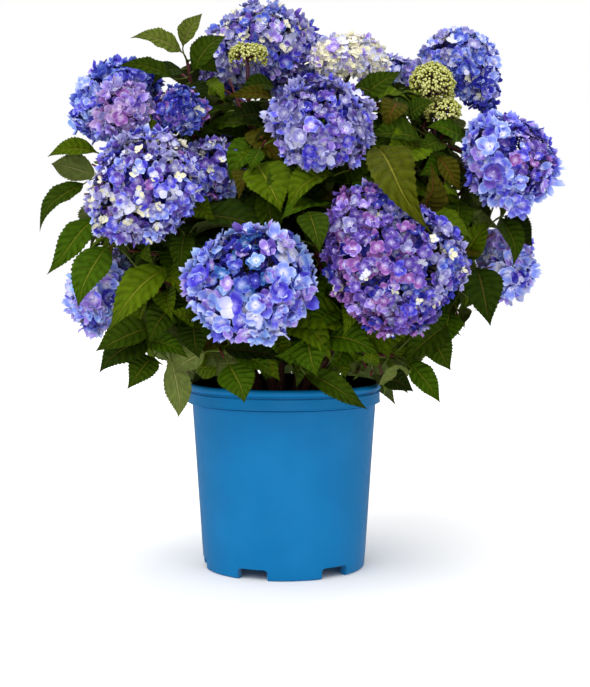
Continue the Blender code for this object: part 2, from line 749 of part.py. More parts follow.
def flower_head(title, head, number, parts, pieces):
    budding = "buds" in title
    facets = (BUD_SEGMENTS, BUD_RINGS) if budding else (HEAD_SEGMENTS, HEAD_RINGS)
    name = title if budding else f"bloom_{title}"
    finish = material(name, head.colour, 0.6)
    dome = add_object(name, head_shape(head, *facets, seed=number), finish, parts)
    start, way = stalk_end(head)
    length = PEDUNCLE + head_depths(head)[1] * 0.4
    stalk = Limb([start, start + way * length], [SHOOT_TIP_RADIUS] * 2, SHOOT_SIDES)
    add_object("stalk", tube(stalk, (way, way)), finish, pieces)
    fuse(dome, pieces)
    dome.data.shade_smooth()
    dome.data.set_sharp_from_angle(angle=math.radians(70))
    return dome


build()
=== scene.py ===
import math
import random
from collections import namedtuple

import bmesh
import bpy
import numpy as np
from mathutils import Matrix, Vector, noise
from mathutils.bvhtree import BVHTree
from mathutils.geometry import interpolate_bezier


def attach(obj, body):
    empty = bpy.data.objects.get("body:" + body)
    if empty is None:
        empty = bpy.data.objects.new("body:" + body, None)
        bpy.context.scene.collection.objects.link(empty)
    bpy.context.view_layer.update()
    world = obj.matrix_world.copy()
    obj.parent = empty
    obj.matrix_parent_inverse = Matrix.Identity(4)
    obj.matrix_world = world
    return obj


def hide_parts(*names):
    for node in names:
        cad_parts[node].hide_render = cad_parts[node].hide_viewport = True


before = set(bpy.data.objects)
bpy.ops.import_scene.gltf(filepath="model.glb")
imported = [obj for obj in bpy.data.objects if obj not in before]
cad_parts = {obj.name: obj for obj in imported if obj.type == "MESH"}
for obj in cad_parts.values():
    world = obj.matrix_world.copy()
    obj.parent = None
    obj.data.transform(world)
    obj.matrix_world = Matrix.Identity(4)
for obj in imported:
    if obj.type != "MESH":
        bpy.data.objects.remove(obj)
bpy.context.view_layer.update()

up = Vector((0, 0, 1))
front = Vector((0, -1, 0))
mapName = "OFBake"
leafCells, petalCells = 3, 6  # each tone of a piece has its own cell in a square map of so many a side
cellMargin = 0.03

# The shrub is grown again here from its limbs: canes, their forks, the shoots with crossed pairs
# of leaves, and then finer side twigs with pairs of their own. Metres, +Z up, the front is -Y.

growth = {
    "gap": 0.0003,
    "soilTop": 0.190,
    "innerRing": 0.014,
    "outerRing": 0.036,
    "caneRadius": 0.0042,
    "caneFlare": 1.4,
    "caneTipRadius": 0.0032,
    "caneLean": 0.35,
    "stemLength": 0.030,
    "stemSwell": 1.15,
    "shootRadius": 0.0026,
    "shootTipRadius": 0.0022,
    "leafyShare": 0.9,  # the radius of a shoot without a head, by that of one with a head
    "leafyTipRadius": 0.0018,
    "hold": (0.8, 0.5),  # how far a shoot with a head, and one without, keeps to its cane's way
    "tipRise": 0.4,
    "coarseSteps": 5,
    "firstFork": 0.35,
    "lastFork": 0.88,
    "twigEnd": 0.003,
    "peduncle": 0.025,
    "domeAbove": 0.58,  # how much of a head's height is above and below its widest ring
    "domeBelow": 0.42,
    "firstPair": 0.012,
    "pairSpacing": 0.030,
    "pairsMost": 5,
    "tries": 8,
    "shrinkPerTry": 0.05,
    "leafLength": 0.098,
    "leafSize": (0.72, 1.08),
    "leafSwing": 0.5,
    "leafDroop": (0.15, 0.75),
    "slenderness": 0.52,
    "leafWidth": (0.9, 1.15),
    "bladeRise": 0.30,
    "faceUp": 0.7,
    "overSide": Vector((0, -0.9, 0.5)),  # the way a framing leaf's top faces, and then the top of
    "underSide": Vector((0, 1, 0.3)),  # one whose underside is to the front
    "petiole": 0.026,
    "petioleRise": 0.55,
    "petioleRadius": 0.0016,
    "rootSink": 0.0009,
    "leafThickness": 0.0026,
    "arch": 0.04,
    "fold": 0.10,
    "widest": 0.45,
    "clearance": 0.0008,
    "overlap": 0.0002,  # how far a leaf of a finer twig may reach into what it crosses
    "nearBy": 0.115,
    "hiding": 0.92,  # how near a leaf may come to the line of sight to a head, by its radius
    "hidingAt": (0.15, 0.5, 1.0),  # where a leaf is tried, from foot to tip
    "frontHeads": 0.05,  # heads up to this far back are kept clear as seen from the front
    "bladeFrom": 0.08,  # a blade may touch its own mass's limbs up to here
    "crownCentre": Vector((0.010, 0.005, 0.400)),
    "crownReach": Vector((0.250, 0.250, 0.205)),
    "rimClearance": 0.006,
    "bend": 0.38,
    "ladder": ("dark", "deep", "mid", "mid", "grass", "fresh"),  # a leaf's tone, from inside out
    "ladderFrom": 0.35,
    "ladderSpread": 0.35,
    "oliveShare": 0.09,
    "seed": 100,
    "toneSeed": 5,
}

inner, outer = growth["innerRing"], growth["outerRing"]

# A head: its centre, half width, the way it faces, height over width, and its look. A mass: the
# fork at its cane's tip, its ring, its heads, its leafy shoot tips, its framing leaves, and the
# tips of the long twigs that fill it. A framing leaf: foot and tip of the blade, then its width,
# below zero where the underside is to the front, and its tone.
Head = namedtuple("Head", "place radius facing height look")
Mass = namedtuple("Mass", "fork ring heads leafy framing fillers")


# Whole numbers in the table are millimetres, and come out in metres. The rest stays as it is.
def metres(value):
    if isinstance(value, int):
        return value / 1000
    if isinstance(value, dict):
        return {title: metres(item) for title, item in value.items()}
    if isinstance(value, (Head, Mass)):
        return type(value)(*[metres(item) for item in value])
    if isinstance(value, (list, tuple)):
        return [metres(item) for item in value]
    return value


masses = metres({
    "front": Mass(
        (-20, -75, 262), outer,
        {
            "front": Head((-35, -200, 345), 70, (-0.15, -0.85, 0.45), 0.72, "bright"),
        },
        [(-65, -140, 268), (-140, -110, 272)],
        [
            (-155, -120, 280, -105, -145, 265, 25, "grass"), (-145, -120, 260, -170, -150, 230, 35, "mid"),
            (-125, -130, 260, -110, -150, 195, -30, "olive"), (-60, -150, 255, -40, -170, 215, 40, "grass"),
            (-65, -150, 272, 5, -170, 260, 27, "dark"), (-86, -140, 268, -122, -150, 246, -30, "mid"),
            (-100, -130, 300, -95, -150, 262, 34, "deep"),
        ],
        [(-20, -150, 255), (-100, -150, 300), (10, -120, 300)],
    ),
    "left": Mass(
        (-85, -55, 290), outer,
        {
            "left": Head((-148, -165, 445), 66, (-0.35, -0.75, 0.50), 0.75, "creamy"),
            "left_low": Head((-214, -20, 329), 50, (-0.90, -0.20, 0.35), 0.75, "pastel"),
        },
        [(-206, -78, 488), (-150, -115, 345)],
        [
            (-210, -90, 490, -265, -100, 490, 22, "fresh"), (-210, -90, 462, -258, -120, 475, -32, "grass"),
            (-225, -90, 455, -275, -130, 410, 25, "mid"), (-210, -105, 415, -255, -140, 355, 32, "grass"),
            (-195, -130, 385, -225, -165, 320, 40, "grass"), (-125, -150, 360, -187, -180, 297, 40, "fresh"),
            (-108, -140, 395, -110, -175, 350, 27, "mid"), (-145, -130, 295, -205, -150, 268, 37, "mid"),
            (-148, -115, 280, -205, -135, 246, 42, "deep"), (-120, -125, 318, -150, -150, 280, 34, "mid"),
        ],
        [(-175, -60, 380), (-130, -130, 330), (-190, -30, 270), (-150, -110, 275), (-190, -70, 430)],
    ),
    "upper_left": Mass(
        (-60, -20, 355), inner,
        {
            "upper_left": Head((-195, -20, 552), 56, (-0.60, -0.20, 0.75), 0.80, "azure"),
            "upper_left_dusky": Head((-176, -118, 534), 34, (-0.30, -0.70, 0.60), 0.80, "mauve"),
            "upper_left_inner": Head((-116, -92, 535), 32, (0.00, -0.60, 0.80), 0.80, "rosy"),
            "left_inner": Head((-78, -85, 466), 42, (0.10, -0.60, 0.80), 0.80, "creamy"),
        },
        [(-112, -40, 600)],
        [
            (-116, -60, 606, -170, -80, 625, 26, "young"), (-116, -55, 613, -93, -60, 650, 22, "young"),
            (-104, -55, 584, -68, -50, 628, 29, "mid"), (-125, -65, 575, -184, -100, 590, 21, "mid"),
            (-2, -80, 412, -91, -100, 411, 25, "deep"), (-118, -45, 588, -150, -70, 572, 26, "deep"),
            (-108, -60, 570, -88, -85, 545, 28, "dark"), (-105, -50, 600, -75, -55, 585, 26, "mid"),
        ],
        [
            (-90, -70, 505), (-60, -110, 420), (-150, 10, 480), (-105, -20, 560), (-70, -30, 560),
            (-130, 0, 530),
        ],
    ),
    "top": Mass(
        (-5, -15, 375), inner,
        {
            "top": Head((-26, 40, 608), 75, (-0.10, 0.00, 1.00), 0.80, "mixed"),
            "centre": Head((41, -160, 514), 58, (0.05, -0.80, 0.60), 0.72, "dusty"),
            "top_buds": Head((-41, -60, 602), 24, (0.00, -0.15, 1.00), 0.45, "buds"),
        },
        [(-20, -105, 465)],
        [
            (-11, -72, 549, -65, -92, 551, 18, "olive"), (-40, -50, 512, -100, -65, 514, 27, "mid"),
            (11, -100, 467, -68, -120, 485, 29, "fresh"), (-29, -130, 475, -1, -175, 422, 50, "fresh"),
            (-10, -60, 566, -52, -75, 556, 24, "deep"), (-20, -65, 535, -62, -85, 528, 26, "dark"),
            (-25, -90, 500, -60, -120, 455, 36, "grass"),
        ],
        [(-50, -80, 545), (-45, -110, 500), (20, -110, 430), (0, -60, 500)],
    ),
    "top_right": Mass(
        (48, 15, 375), inner,
        {
            "top_pale": Head((75, -30, 598), 53, (0.10, -0.20, 1.00), 0.60, "cream"),
            "top_back": Head((136, 100, 590), 40, (0.20, 0.30, 0.90), 0.75, "blue"),
            "right_buds": Head((177, -80, 557), 32, (0.10, -0.25, 0.95), 0.98, "buds"),
        },
        [(85, -55, 545)],
        [
            (86, -88, 546, 130, -103, 580, 28, "mid"), (78, -85, 562, 108, -100, 548, 30, "deep"),
            (130, -95, 545, 112, -120, 515, 30, "olive"), (140, -95, 530, 165, -115, 545, 26, "mid"),
        ],
        [(130, -70, 535), (150, -90, 500), (110, -80, 480), (165, -50, 530)],
    ),
    "right": Mass(
        (105, -20, 345), outer,
        {
            "right_high": Head((207, 0, 592), 51, (0.45, -0.15, 0.85), 0.88, "deepBlue"),
            "right": Head((253, -90, 477), 58, (0.50, -0.75, 0.35), 0.75, "vivid"),
        },
        [(200, -55, 475)],
        [
            (199, -80, 435, 194, -115, 384, 32, "mid"), (196, -80, 483, 151, -130, 463, 30, "grass"),
            (208, -75, 505, 161, -112, 521, 28, "grass"), (180, -90, 500, 150, -120, 490, 26, "mid"),
        ],
        [(185, -95, 440), (190, -60, 520), (210, -40, 420)],
    ),
    "front_right": Mass(
        (50, -75, 265), outer,
        {
            "front_right": Head((117, -185, 361), 80, (0.20, -0.85, 0.40), 0.70, "orchid"),
        },
        [(30, -135, 300), (125, -115, 262), (85, -115, 475), (35, -135, 395)],
        [
            (24, -155, 289, 35, -185, 245, 41, "grass"), (44, -150, 284, 103, -185, 272, 36, "grass"),
            (23, -140, 242, 92, -160, 207, 27, "mid"), (142, -140, 246, 100, -165, 234, -23, "mid"),
            (107, -140, 241, 144, -155, 228, 26, "dark"), (160, -130, 290, 184, -145, 248, 32, "mid"),
            (138, -125, 258, 175, -140, 212, 27, "grass"), (28, -190, 420, 38, -240, 378, 32, "mid"),
            (30, -150, 351, 28, -180, 306, 32, "grass"), (101, -150, 492, 138, -243, 409, 48, "lime"),
            (105, -120, 450, 58, -175, 430, -24, "olive"),
        ],
        [(130, -120, 450), (75, -140, 440), (80, -150, 270), (160, -110, 420)],
    ),
    "low_right": Mass(
        (95, 30, 285), outer,
        {
            "right_low": Head((262, 20, 363), 46, (0.90, -0.30, 0.35), 0.85, "pastel"),
            "back_right_low": Head((205, 125, 390), 55, (0.80, 0.50, 0.35), 0.75, "creamy"),
        },
        [(185, -95, 295), (238, -32, 405)],
        [
            (183, -120, 296, 131, -160, 258, 36, "mid"), (252, -50, 417, 269, -75, 364, 27, "mid"),
            (220, -75, 360, 231, -115, 294, 44, "deep"), (257, -45, 420, 286, -60, 382, 30, "dark"),
            (190, -80, 310, 178, -120, 268, 34, "grass"),
        ],
        [(200, -70, 350), (170, -110, 260), (215, 20, 290)],
    ),
    "back_left": Mass(
        (-70, 55, 310), outer,
        {
            "back_left": Head((-170, 140, 460), 64, (-0.50, 0.70, 0.50), 0.75, "bright"),
            "back_left_high": Head((-100, 135, 548), 50, (-0.30, 0.50, 0.80), 0.80, "dusty"),
            "back_left_low": Head((-195, 105, 335), 52, (-0.80, 0.50, 0.25), 0.75, "orchid"),
        },
        [(-160, 125, 265), (-225, 50, 440)],
        [
            (-158, 128, 276, -207, 150, 262, -32, "grass"), (-160, 132, 270, -150, 182, 243, -34, "mid"),
            (-165, 120, 268, -212, 105, 240, -30, "mid"), (-85, 90, 262, -132, 128, 196, -44, "mid"),
            (-110, 74, 262, -152, 92, 199, -42, "deep"), (-66, 98, 266, -98, 142, 184, -42, "deep"),
        ],
        [(-120, 150, 380), (-200, 60, 400), (-110, 90, 480)],
    ),
    "back": Mass(
        (-5, 78, 270), outer,
        {
            "back": Head((-45, 205, 415), 68, (-0.10, 0.90, 0.40), 0.75, "creamy"),
            "back_low": Head((60, 200, 325), 60, (0.10, 0.95, 0.25), 0.75, "blue"),
        },
        [(-60, 150, 262), (20, 190, 250)],
        [
            (14, 188, 262, -32, 216, 248, -32, "mid"), (26, 192, 262, 68, 222, 244, -32, "grass"),
            (20, 194, 252, 18, 235, 214, -32, "fresh"), (-60, 155, 266, -85, 198, 234, -32, "grass"),
            (0, 108, 262, -30, 154, 196, -44, "grass"), (-38, 106, 264, -61, 150, 202, -44, "deep"),
            (36, 106, 260, 62, 152, 180, -42, "deep"), (-18, 104, 268, 4, 150, 199, -40, "mid"),
            (16, 108, 268, 32, 158, 188, -38, "mid"),
        ],
        [(0, 150, 360), (-80, 140, 300), (90, 130, 270)],
    ),
    "back_right": Mass(
        (45, 60, 330), outer,
        {
            "back_right": Head((120, 190, 455), 66, (0.35, 0.80, 0.50), 0.75, "mixed"),
            "back_top": Head((40, 145, 550), 60, (0.10, 0.55, 0.85), 0.80, "vivid"),
        },
        [(150, 130, 270), (215, 60, 490)],
        [
            (152, 134, 276, 197, 156, 262, -32, "grass"), (145, 138, 270, 128, 187, 244, -34, "mid"),
            (158, 126, 268, 202, 105, 242, -30, "mid"), (68, 100, 262, 104, 140, 199, -44, "grass"),
            (94, 84, 260, 136, 114, 184, -42, "deep"), (112, 62, 262, 154, 74, 202, -42, "mid"),
            (52, 102, 272, 48, 148, 205, -40, "deep"), (80, 90, 268, 84, 140, 191, -38, "mid"),
        ],
        [(160, 120, 380), (50, 150, 460), (190, 60, 400)],
    ),
})

Limb = namedtuple("Limb", "points radii")
Leaf = namedtuple("Leaf", "root foot tip width up")


# Camera, light and floor.

camera = {
    "place": (0.0132, -1.75, 0.382),
    "pitch": math.radians(3.74),
    "focalLength": 1461,  # in pixels of a frame 590 wide
    "frameWidth": 590,
}
lights = {
    # the way the light comes from, its strength, and how wide it is, in degrees
    "key": {"from": (-0.45, -0.75, 1.00), "strength": 1.85, "width": 55},
    "fill": {"from": (0.45, -1.00, 0.40), "strength": 0.6, "width": 75},
    "top": {"from": (0.15, 0.30, 1.00), "strength": 0.9, "width": 50},
}
# how bright the room is as it is shown, as it lights, and as it is mirrored
studio = {"shown": 1.0, "cast": 0.80, "mirrored": 0.35, "floorWhite": 0.97, "floorWidth": 14.0}


def linked(name, data):
    obj = bpy.data.objects.new(name, data)
    bpy.context.scene.collection.objects.link(obj)
    return obj


def setCamera():
    data = bpy.data.cameras.new("camera")
    data.sensor_fit = "HORIZONTAL"
    data.angle = 2 * math.atan(camera["frameWidth"] / 2 / camera["focalLength"])
    obj = linked("camera", data)
    obj.location = camera["place"]
    obj.rotation_euler = (math.pi / 2 - camera["pitch"], 0, 0)
    bpy.context.scene.camera = obj


def setLights():
    for name, light in lights.items():
        data = bpy.data.lights.new(name, "SUN")
        data.energy = light["strength"]
        data.angle = math.radians(light["width"])
        linked(name, data).rotation_euler = Vector(light["from"]).to_track_quat("Z", "Y").to_euler()


def setRoom():
    world = bpy.data.worlds.new("studio")
    bpy.context.scene.world = world
    world.use_nodes = True
    tree = world.node_tree
    tree.nodes.clear()
    rays = addNode(tree, "ShaderNodeLightPath", {})
    inputs = {"Value": rays["Is Glossy Ray"], "To Min": studio["cast"], "To Max": studio["mirrored"]}
    lighting = addNode(tree, "ShaderNodeMapRange", inputs)["Result"]
    inputs = {"Value": rays["Is Camera Ray"], "To Min": lighting, "To Max": studio["shown"]}
    strength = addNode(tree, "ShaderNodeMapRange", inputs)["Result"]
    glow = addNode(tree, "ShaderNodeBackground", {"Color": (1, 1, 1), "Strength": strength})["Background"]
    addNode(tree, "ShaderNodeOutputWorld", {"Surface": glow})
    bpy.context.scene.view_settings.view_transform = "Standard"

    bm = bmesh.new()
    bmesh.ops.create_grid(bm, x_segments=1, y_segments=1, size=studio["floorWidth"] / 2)
    floor = addPiece("floor", meshOf("floor", bm), [floorFinish()])
    floor.visible_glossy = False


def meshOf(name, bm):
    mesh = bpy.data.meshes.new(name)
    bm.to_mesh(mesh)
    bm.free()
    mesh.shade_smooth()
    return mesh


def addPiece(name, mesh, finishes=()):
    for finish in finishes:
        mesh.materials.append(finish)
    return linked(name, mesh)


# Rides on the part's one body and stands for the nodes.
def settle(piece, slot, *nodes):
    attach(piece, "root")
    if nodes:
        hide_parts(*nodes)


def triangleCount(piece):
    return sum(len(face.vertices) - 2 for face in piece.data.polygons)


# Finishes.


# A colour of 0 to 255 as the shader wants it.
def tint(red, green, blue):
    return tuple((c / 255) ** 2.2 for c in (red, green, blue))


def tinted(table):
    return {name: [tint(*colour) for colour in row] for name, row in table.items()}


def dimmed(colour, share):
    return tuple(c * share for c in colour)


# A node with its settings, and with each input linked or set.
def addNode(tree, kind, inputs, **settings):
    node = tree.nodes.new(kind)
    for title, value in settings.items():
        setattr(node, title, value)
    for title, value in inputs.items():
        socket = node.inputs[title]
        if isinstance(value, bpy.types.NodeSocket):
            tree.links.new(value, socket)
        elif isinstance(value, tuple):
            socket.default_value = (*value, 1)[:len(socket.default_value)]  # a colour takes a fourth
        else:
            socket.default_value = value
    return node.outputs


# A material that is built up node by node. Each method returns what its nodes put out.
class Finish:
    def __init__(self, name, colour, roughness, specular):
        self.material = bpy.data.materials.new(name)
        self.material.use_nodes = True
        self.material.diffuse_color = (*colour, 1)
        self.sockets = self.material.node_tree.nodes["Principled BSDF"].inputs
        self.sockets["Base Color"].default_value = (*colour, 1)
        self.sockets["Roughness"].default_value = roughness
        self.sockets["Specular IOR Level"].default_value = specular

    def node(self, kind, inputs, **settings):
        return addNode(self.material.node_tree, kind, inputs, **settings)

    def feed(self, title, value):
        self.material.node_tree.links.new(value, self.sockets[title])

    def place(self):
        return self.node("ShaderNodeTexCoord", {})["Object"]

    # The whole place, and across and along, within a tone's cell of the map, each from 0 to 1.
    def cell(self, cells):
        uv = self.node("ShaderNodeUVMap", {}, uv_map=mapName)["UV"]
        inputs = {0: uv, 1: (cells, cells, 0)}
        scaled = self.node("ShaderNodeVectorMath", inputs, operation="MULTIPLY")["Vector"]
        within = self.node("ShaderNodeVectorMath", {0: scaled}, operation="FRACTION")["Vector"]
        parts = self.node("ShaderNodeSeparateXYZ", {"Vector": within})
        return within, parts["X"], parts["Y"]

    def stretched(self, place, scale):
        return self.node("ShaderNodeMapping", {"Vector": place, "Scale": scale})["Vector"]

    def noise(self, place, scale, detail=2.0, roughness=0.5):
        inputs = {"Vector": place, "Scale": scale, "Detail": detail, "Roughness": roughness}
        return self.node("ShaderNodeTexNoise", inputs)["Fac"]

    def maths(self, operation, *values):
        return self.node("ShaderNodeMath", dict(enumerate(values)), operation=operation)[0]

    # How far off a middle line a place is.
    def aside(self, value):
        return self.maths("ABSOLUTE", self.maths("SUBTRACT", value, 0.5))

    def ramp(self, value, low, high, toLow=0.0, toHigh=1.0):
        inputs = {"Value": value, "From Min": low, "From Max": high, "To Min": toLow, "To Max": toHigh}
        return self.node("ShaderNodeMapRange", inputs, interpolation_type="SMOOTHSTEP")["Result"]

    def mixed(self, share, first, second):
        inputs = {0: share, 6: first, 7: second}  # the sockets of its colour mode
        return self.node("ShaderNodeMix", inputs, data_type="RGBA")[2]

    def paint(self, colour):
        self.feed("Base Color", colour)

    # Roughness that follows a value from the least to the most.
    def roughen(self, value, least, most, low=0.3, high=0.7):
        self.feed("Roughness", self.ramp(value, low, high, least, most))

    def bump(self, height, strength, distance):
        inputs = {"Strength": strength, "Distance": distance, "Height": height}
        self.feed("Normal", self.node("ShaderNodeBump", inputs)["Normal"])


def floorFinish():
    made = Finish("floorPaint", (studio["floorWhite"],) * 3, 0.8, 0.2)
    made.roughen(made.noise(made.place(), 40), 0.75, 0.9, 0, 1)
    return made.material


# The pot: a thin tapered tub with a band, a groove and a rolled lip, and notches round its foot.

pot = {
    "height": 0.222,
    "wall": 0.002,
    "floor": 0.0025,
    "floorRise": 0.0145,  # the underside of the floor, over the notches
    "footRadius": 0.097,
    "footRounding": 0.003,
    "footRing": 0.010,  # how thick the wall is under the floor
    "bodyRadius": 0.110,
    "bandRadius": 0.115,
    "bandBottom": 0.1985,
    "beadHeight": 0.0018,
    "beadOut": 0.0005,
    "undercut": 0.0012,
    "grooveBottom": 0.2105,
    "grooveRadius": 0.1128,
    "lipRadius": 0.1175,
    "lipHeight": 0.008,
    "lipWall": 0.0045,
    "edge": 0.001,
    "steps": 144,
    "arcs": (12, 4, 6),  # how many steps the lip, the edge of the groove and the other rounds have
    "wallHeights": (0.160, 0.120, 0.080, 0.040, 0.016),
    "notches": 6,
    "notchWidth": 0.037,
    "notchHeight": 0.013,
    "notchRounding": 0.004,
    "notchTurn": math.radians(-22),
    "blue": tint(0, 107, 163),
    # near black: painted shade inside the pot, under the crown
    "inside": tint(20, 22, 24),
}


# Moulded plastic: a faint flow of tone, a fine satin grain, and scuffs that dull it.
def potFinish(name, colour, roughness):
    made = Finish(name, colour, roughness, 0.15)
    place = made.place()
    lighter = tuple(min(1, c * 1.04 + 0.001) for c in colour)
    flow = made.ramp(made.noise(place, 14, 3), 0.35, 0.65)
    made.paint(made.mixed(flow, dimmed(colour, 0.95), lighter))
    made.roughen(made.noise(place, 60, 6, 0.7), roughness - 0.06, roughness + 0.12, 0.35, 0.75)
    made.bump(made.noise(place, 900, 2), 0.10, 0.0003)
    return made.material


# Points along an arc, in degrees from the radius towards +Z.
def arc(centre, radius, start, end, steps):
    turns = [math.radians(start + (end - start) * i / steps) for i in range(steps + 1)]
    return [(centre[0] + radius * math.cos(t), centre[1] + radius * math.sin(t)) for t in turns]


def wallRadius(height):
    return pot["footRadius"] + (pot["bodyRadius"] - pot["footRadius"]) * height / pot["bandBottom"]


# A closed profile of (radius, height) points turned round the Z axis, as a new bmesh.
def spun(profile, steps):
    bm = bmesh.new()
    verts = [bm.verts.new((radius, 0, height)) for radius, height in profile]
    pairs = zip(verts, [*verts[1:], verts[0]], strict=True)
    edges = [bm.edges.new(pair) for pair in pairs if pair[0].co.x or pair[1].co.x]
    bmesh.ops.spin(
        bm, geom=verts + edges, cent=(0, 0, 0), axis=(0, 0, 1), angle=math.tau, steps=steps, use_merge=True
    )
    bmesh.ops.remove_doubles(bm, verts=bm.verts, dist=1e-6)
    bmesh.ops.recalc_face_normals(bm, faces=bm.faces)
    return bm


def makePot():
    lip, edge, wall, rise = pot["lipHeight"] / 2, pot["edge"], pot["wall"], pot["floorRise"]
    foot, rounding, ring = pot["footRadius"], pot["footRounding"], pot["footRadius"] - pot["footRing"]
    body, band, bandFoot, under = pot["bodyRadius"], pot["bandRadius"], pot["bandBottom"], pot["undercut"]
    groove, grooveFoot, bead = pot["grooveRadius"], pot["grooveBottom"], pot["beadHeight"] / 2
    floor = rise + pot["floor"]
    lipSteps, edgeSteps, roundSteps = pot["arcs"]
    outside = [
        *arc((pot["lipRadius"] - lip, pot["height"] - lip), lip, 90, -50, lipSteps),
        (groove, grooveFoot + edge * 3),
        (groove, grooveFoot + edge),
        *arc((band - edge, grooveFoot), edge, 90, 0, edgeSteps),
        (band, bandFoot + bead * 3),
        *arc((band + pot["beadOut"] - bead, bandFoot + bead), bead, 40, -90, roundSteps),
        (body - under, bandFoot),
        (body - under, bandFoot - under * 0.6),
        (body, bandFoot - under * 1.2),
        *[(wallRadius(height), height) for height in pot["wallHeights"]],
        *arc((foot - rounding, rounding), rounding, 0, -90, roundSteps),
        (ring, 0),
        (ring, rise),
        (0, rise),
    ]
    inside = [
        (0, floor),
        (wallRadius(floor) - wall, floor),
        (wallRadius(bandFoot) - wall * 1.3, bandFoot - wall),
        (band - pot["lipWall"], bandFoot + wall),
        (band - pot["lipWall"], pot["height"] - edge),
    ]
    bm = spun(outside + inside, pot["steps"])
    # faces inside the pot take the near-black finish that paints its shade
    for face in bm.faces:
        middle = face.calc_center_median()
        facesIn = face.normal.xy.dot(middle.xy) < -1e-5 or (face.normal.z > 0.9 and middle.z < 0.1)
        face.material_index = int(facesIn and middle.z > rise + 0.001)
    finishes = [potFinish("potBlue", pot["blue"], 0.34), potFinish("potShadedInside", pot["inside"], 0.5)]
    tub = addPiece("pot_shell", meshOf("pot_shell", bm), finishes)
    cutters = [notchCutter(i) for i in range(pot["notches"])]
    for cutter in cutters:
        cut = tub.modifiers.new(cutter.name, "BOOLEAN")
        cut.operation = "DIFFERENCE"
        cut.object = cutter
    graph = bpy.context.evaluated_depsgraph_get()
    mesh = bpy.data.meshes.new_from_object(tub.evaluated_get(graph))
    tub.modifiers.clear()
    tub.data = mesh
    for cutter in cutters:
        bpy.data.objects.remove(cutter)
    mesh.shade_smooth()
    mesh.set_sharp_from_angle(angle=math.radians(35))
    settle(tub, "pot_plastic", "pot")


# A block with its two upper edges rounded, standing through the wall at the foot.
def notchCutter(index):
    bm = bmesh.new()
    bmesh.ops.create_cube(bm, size=1)
    bmesh.ops.scale(bm, vec=(pot["notchWidth"], 4 * pot["footRing"], 2 * pot["notchHeight"]), verts=bm.verts)
    upper = [e for e in bm.edges if all(v.co.z > 0 for v in e.verts)]
    upper = [e for e in upper if abs(e.verts[0].co.x - e.verts[1].co.x) < 1e-6]
    bmesh.ops.bevel(
        bm, geom=upper, offset=pot["notchRounding"], segments=8, profile=0.5, affect="EDGES", material=-1
    )
    turn = pot["notchTurn"] + index * math.tau / pot["notches"]
    place = Matrix.Rotation(turn, 4, "Z") @ Matrix.Translation((0, -pot["footRadius"], 0))
    bmesh.ops.transform(bm, matrix=place, verts=bm.verts)
    bmesh.ops.recalc_face_normals(bm, faces=bm.faces)
    cutter = addPiece(f"notch{index}", meshOf(f"notch{index}", bm))
    cutter.hide_render = True
    return cutter


# The potting mix: a lumpy top, with bark crumbs on it.

soil = {
    "drop": 0.003,
    "flatRadius": 0.052,
    "clearance": 0.0026,
    "rings": 26,
    "steps": 96,
    "relief": 0.0028,
    "lumps": (90, 240),  # how many to a metre, broad and fine
    "crumbs": 520,
    "crumbSize": (0.0016, 0.0048),
    "crumbWidth": (0.4, 0.8),  # by its length
    "crumbHeight": (0.25, 0.5),
    "crumbTilt": 0.5,
    "crumbRise": 0.4,
    "crumbMargin": 0.006,
    "brown": tint(52, 38, 30),
    "crumbTones": (tint(70, 48, 34), tint(44, 32, 26), tint(96, 72, 50)),
    "seed": 31,
}
mixRadius = wallRadius(growth["soilTop"]) - soil["clearance"]


def soilFinish(name, colour):
    made = Finish(name, colour, 0.95, 0.25)
    lumps = made.noise(made.place(), 320, 5, 0.65)
    made.paint(made.mixed(made.ramp(lumps, 0.38, 0.62), dimmed(colour, 0.35), colour))
    made.bump(lumps, 0.8, 0.001)
    return made.material


# The top of the mix: level round the canes, lower at the wall, and lumpy.
def soilHeight(x, y):
    flat = soil["flatRadius"]
    sunk = soil["drop"] * max(0.0, (math.hypot(x, y) - flat) / (mixRadius - flat))
    broad, fine = soil["lumps"]
    lumps = noise.noise(Vector((x, y, 0)) * broad) + 0.5 * noise.noise(Vector((x, y, 3)) * fine)
    return growth["soilTop"] - sunk - soil["relief"] * (0.5 - 0.5 * lumps)


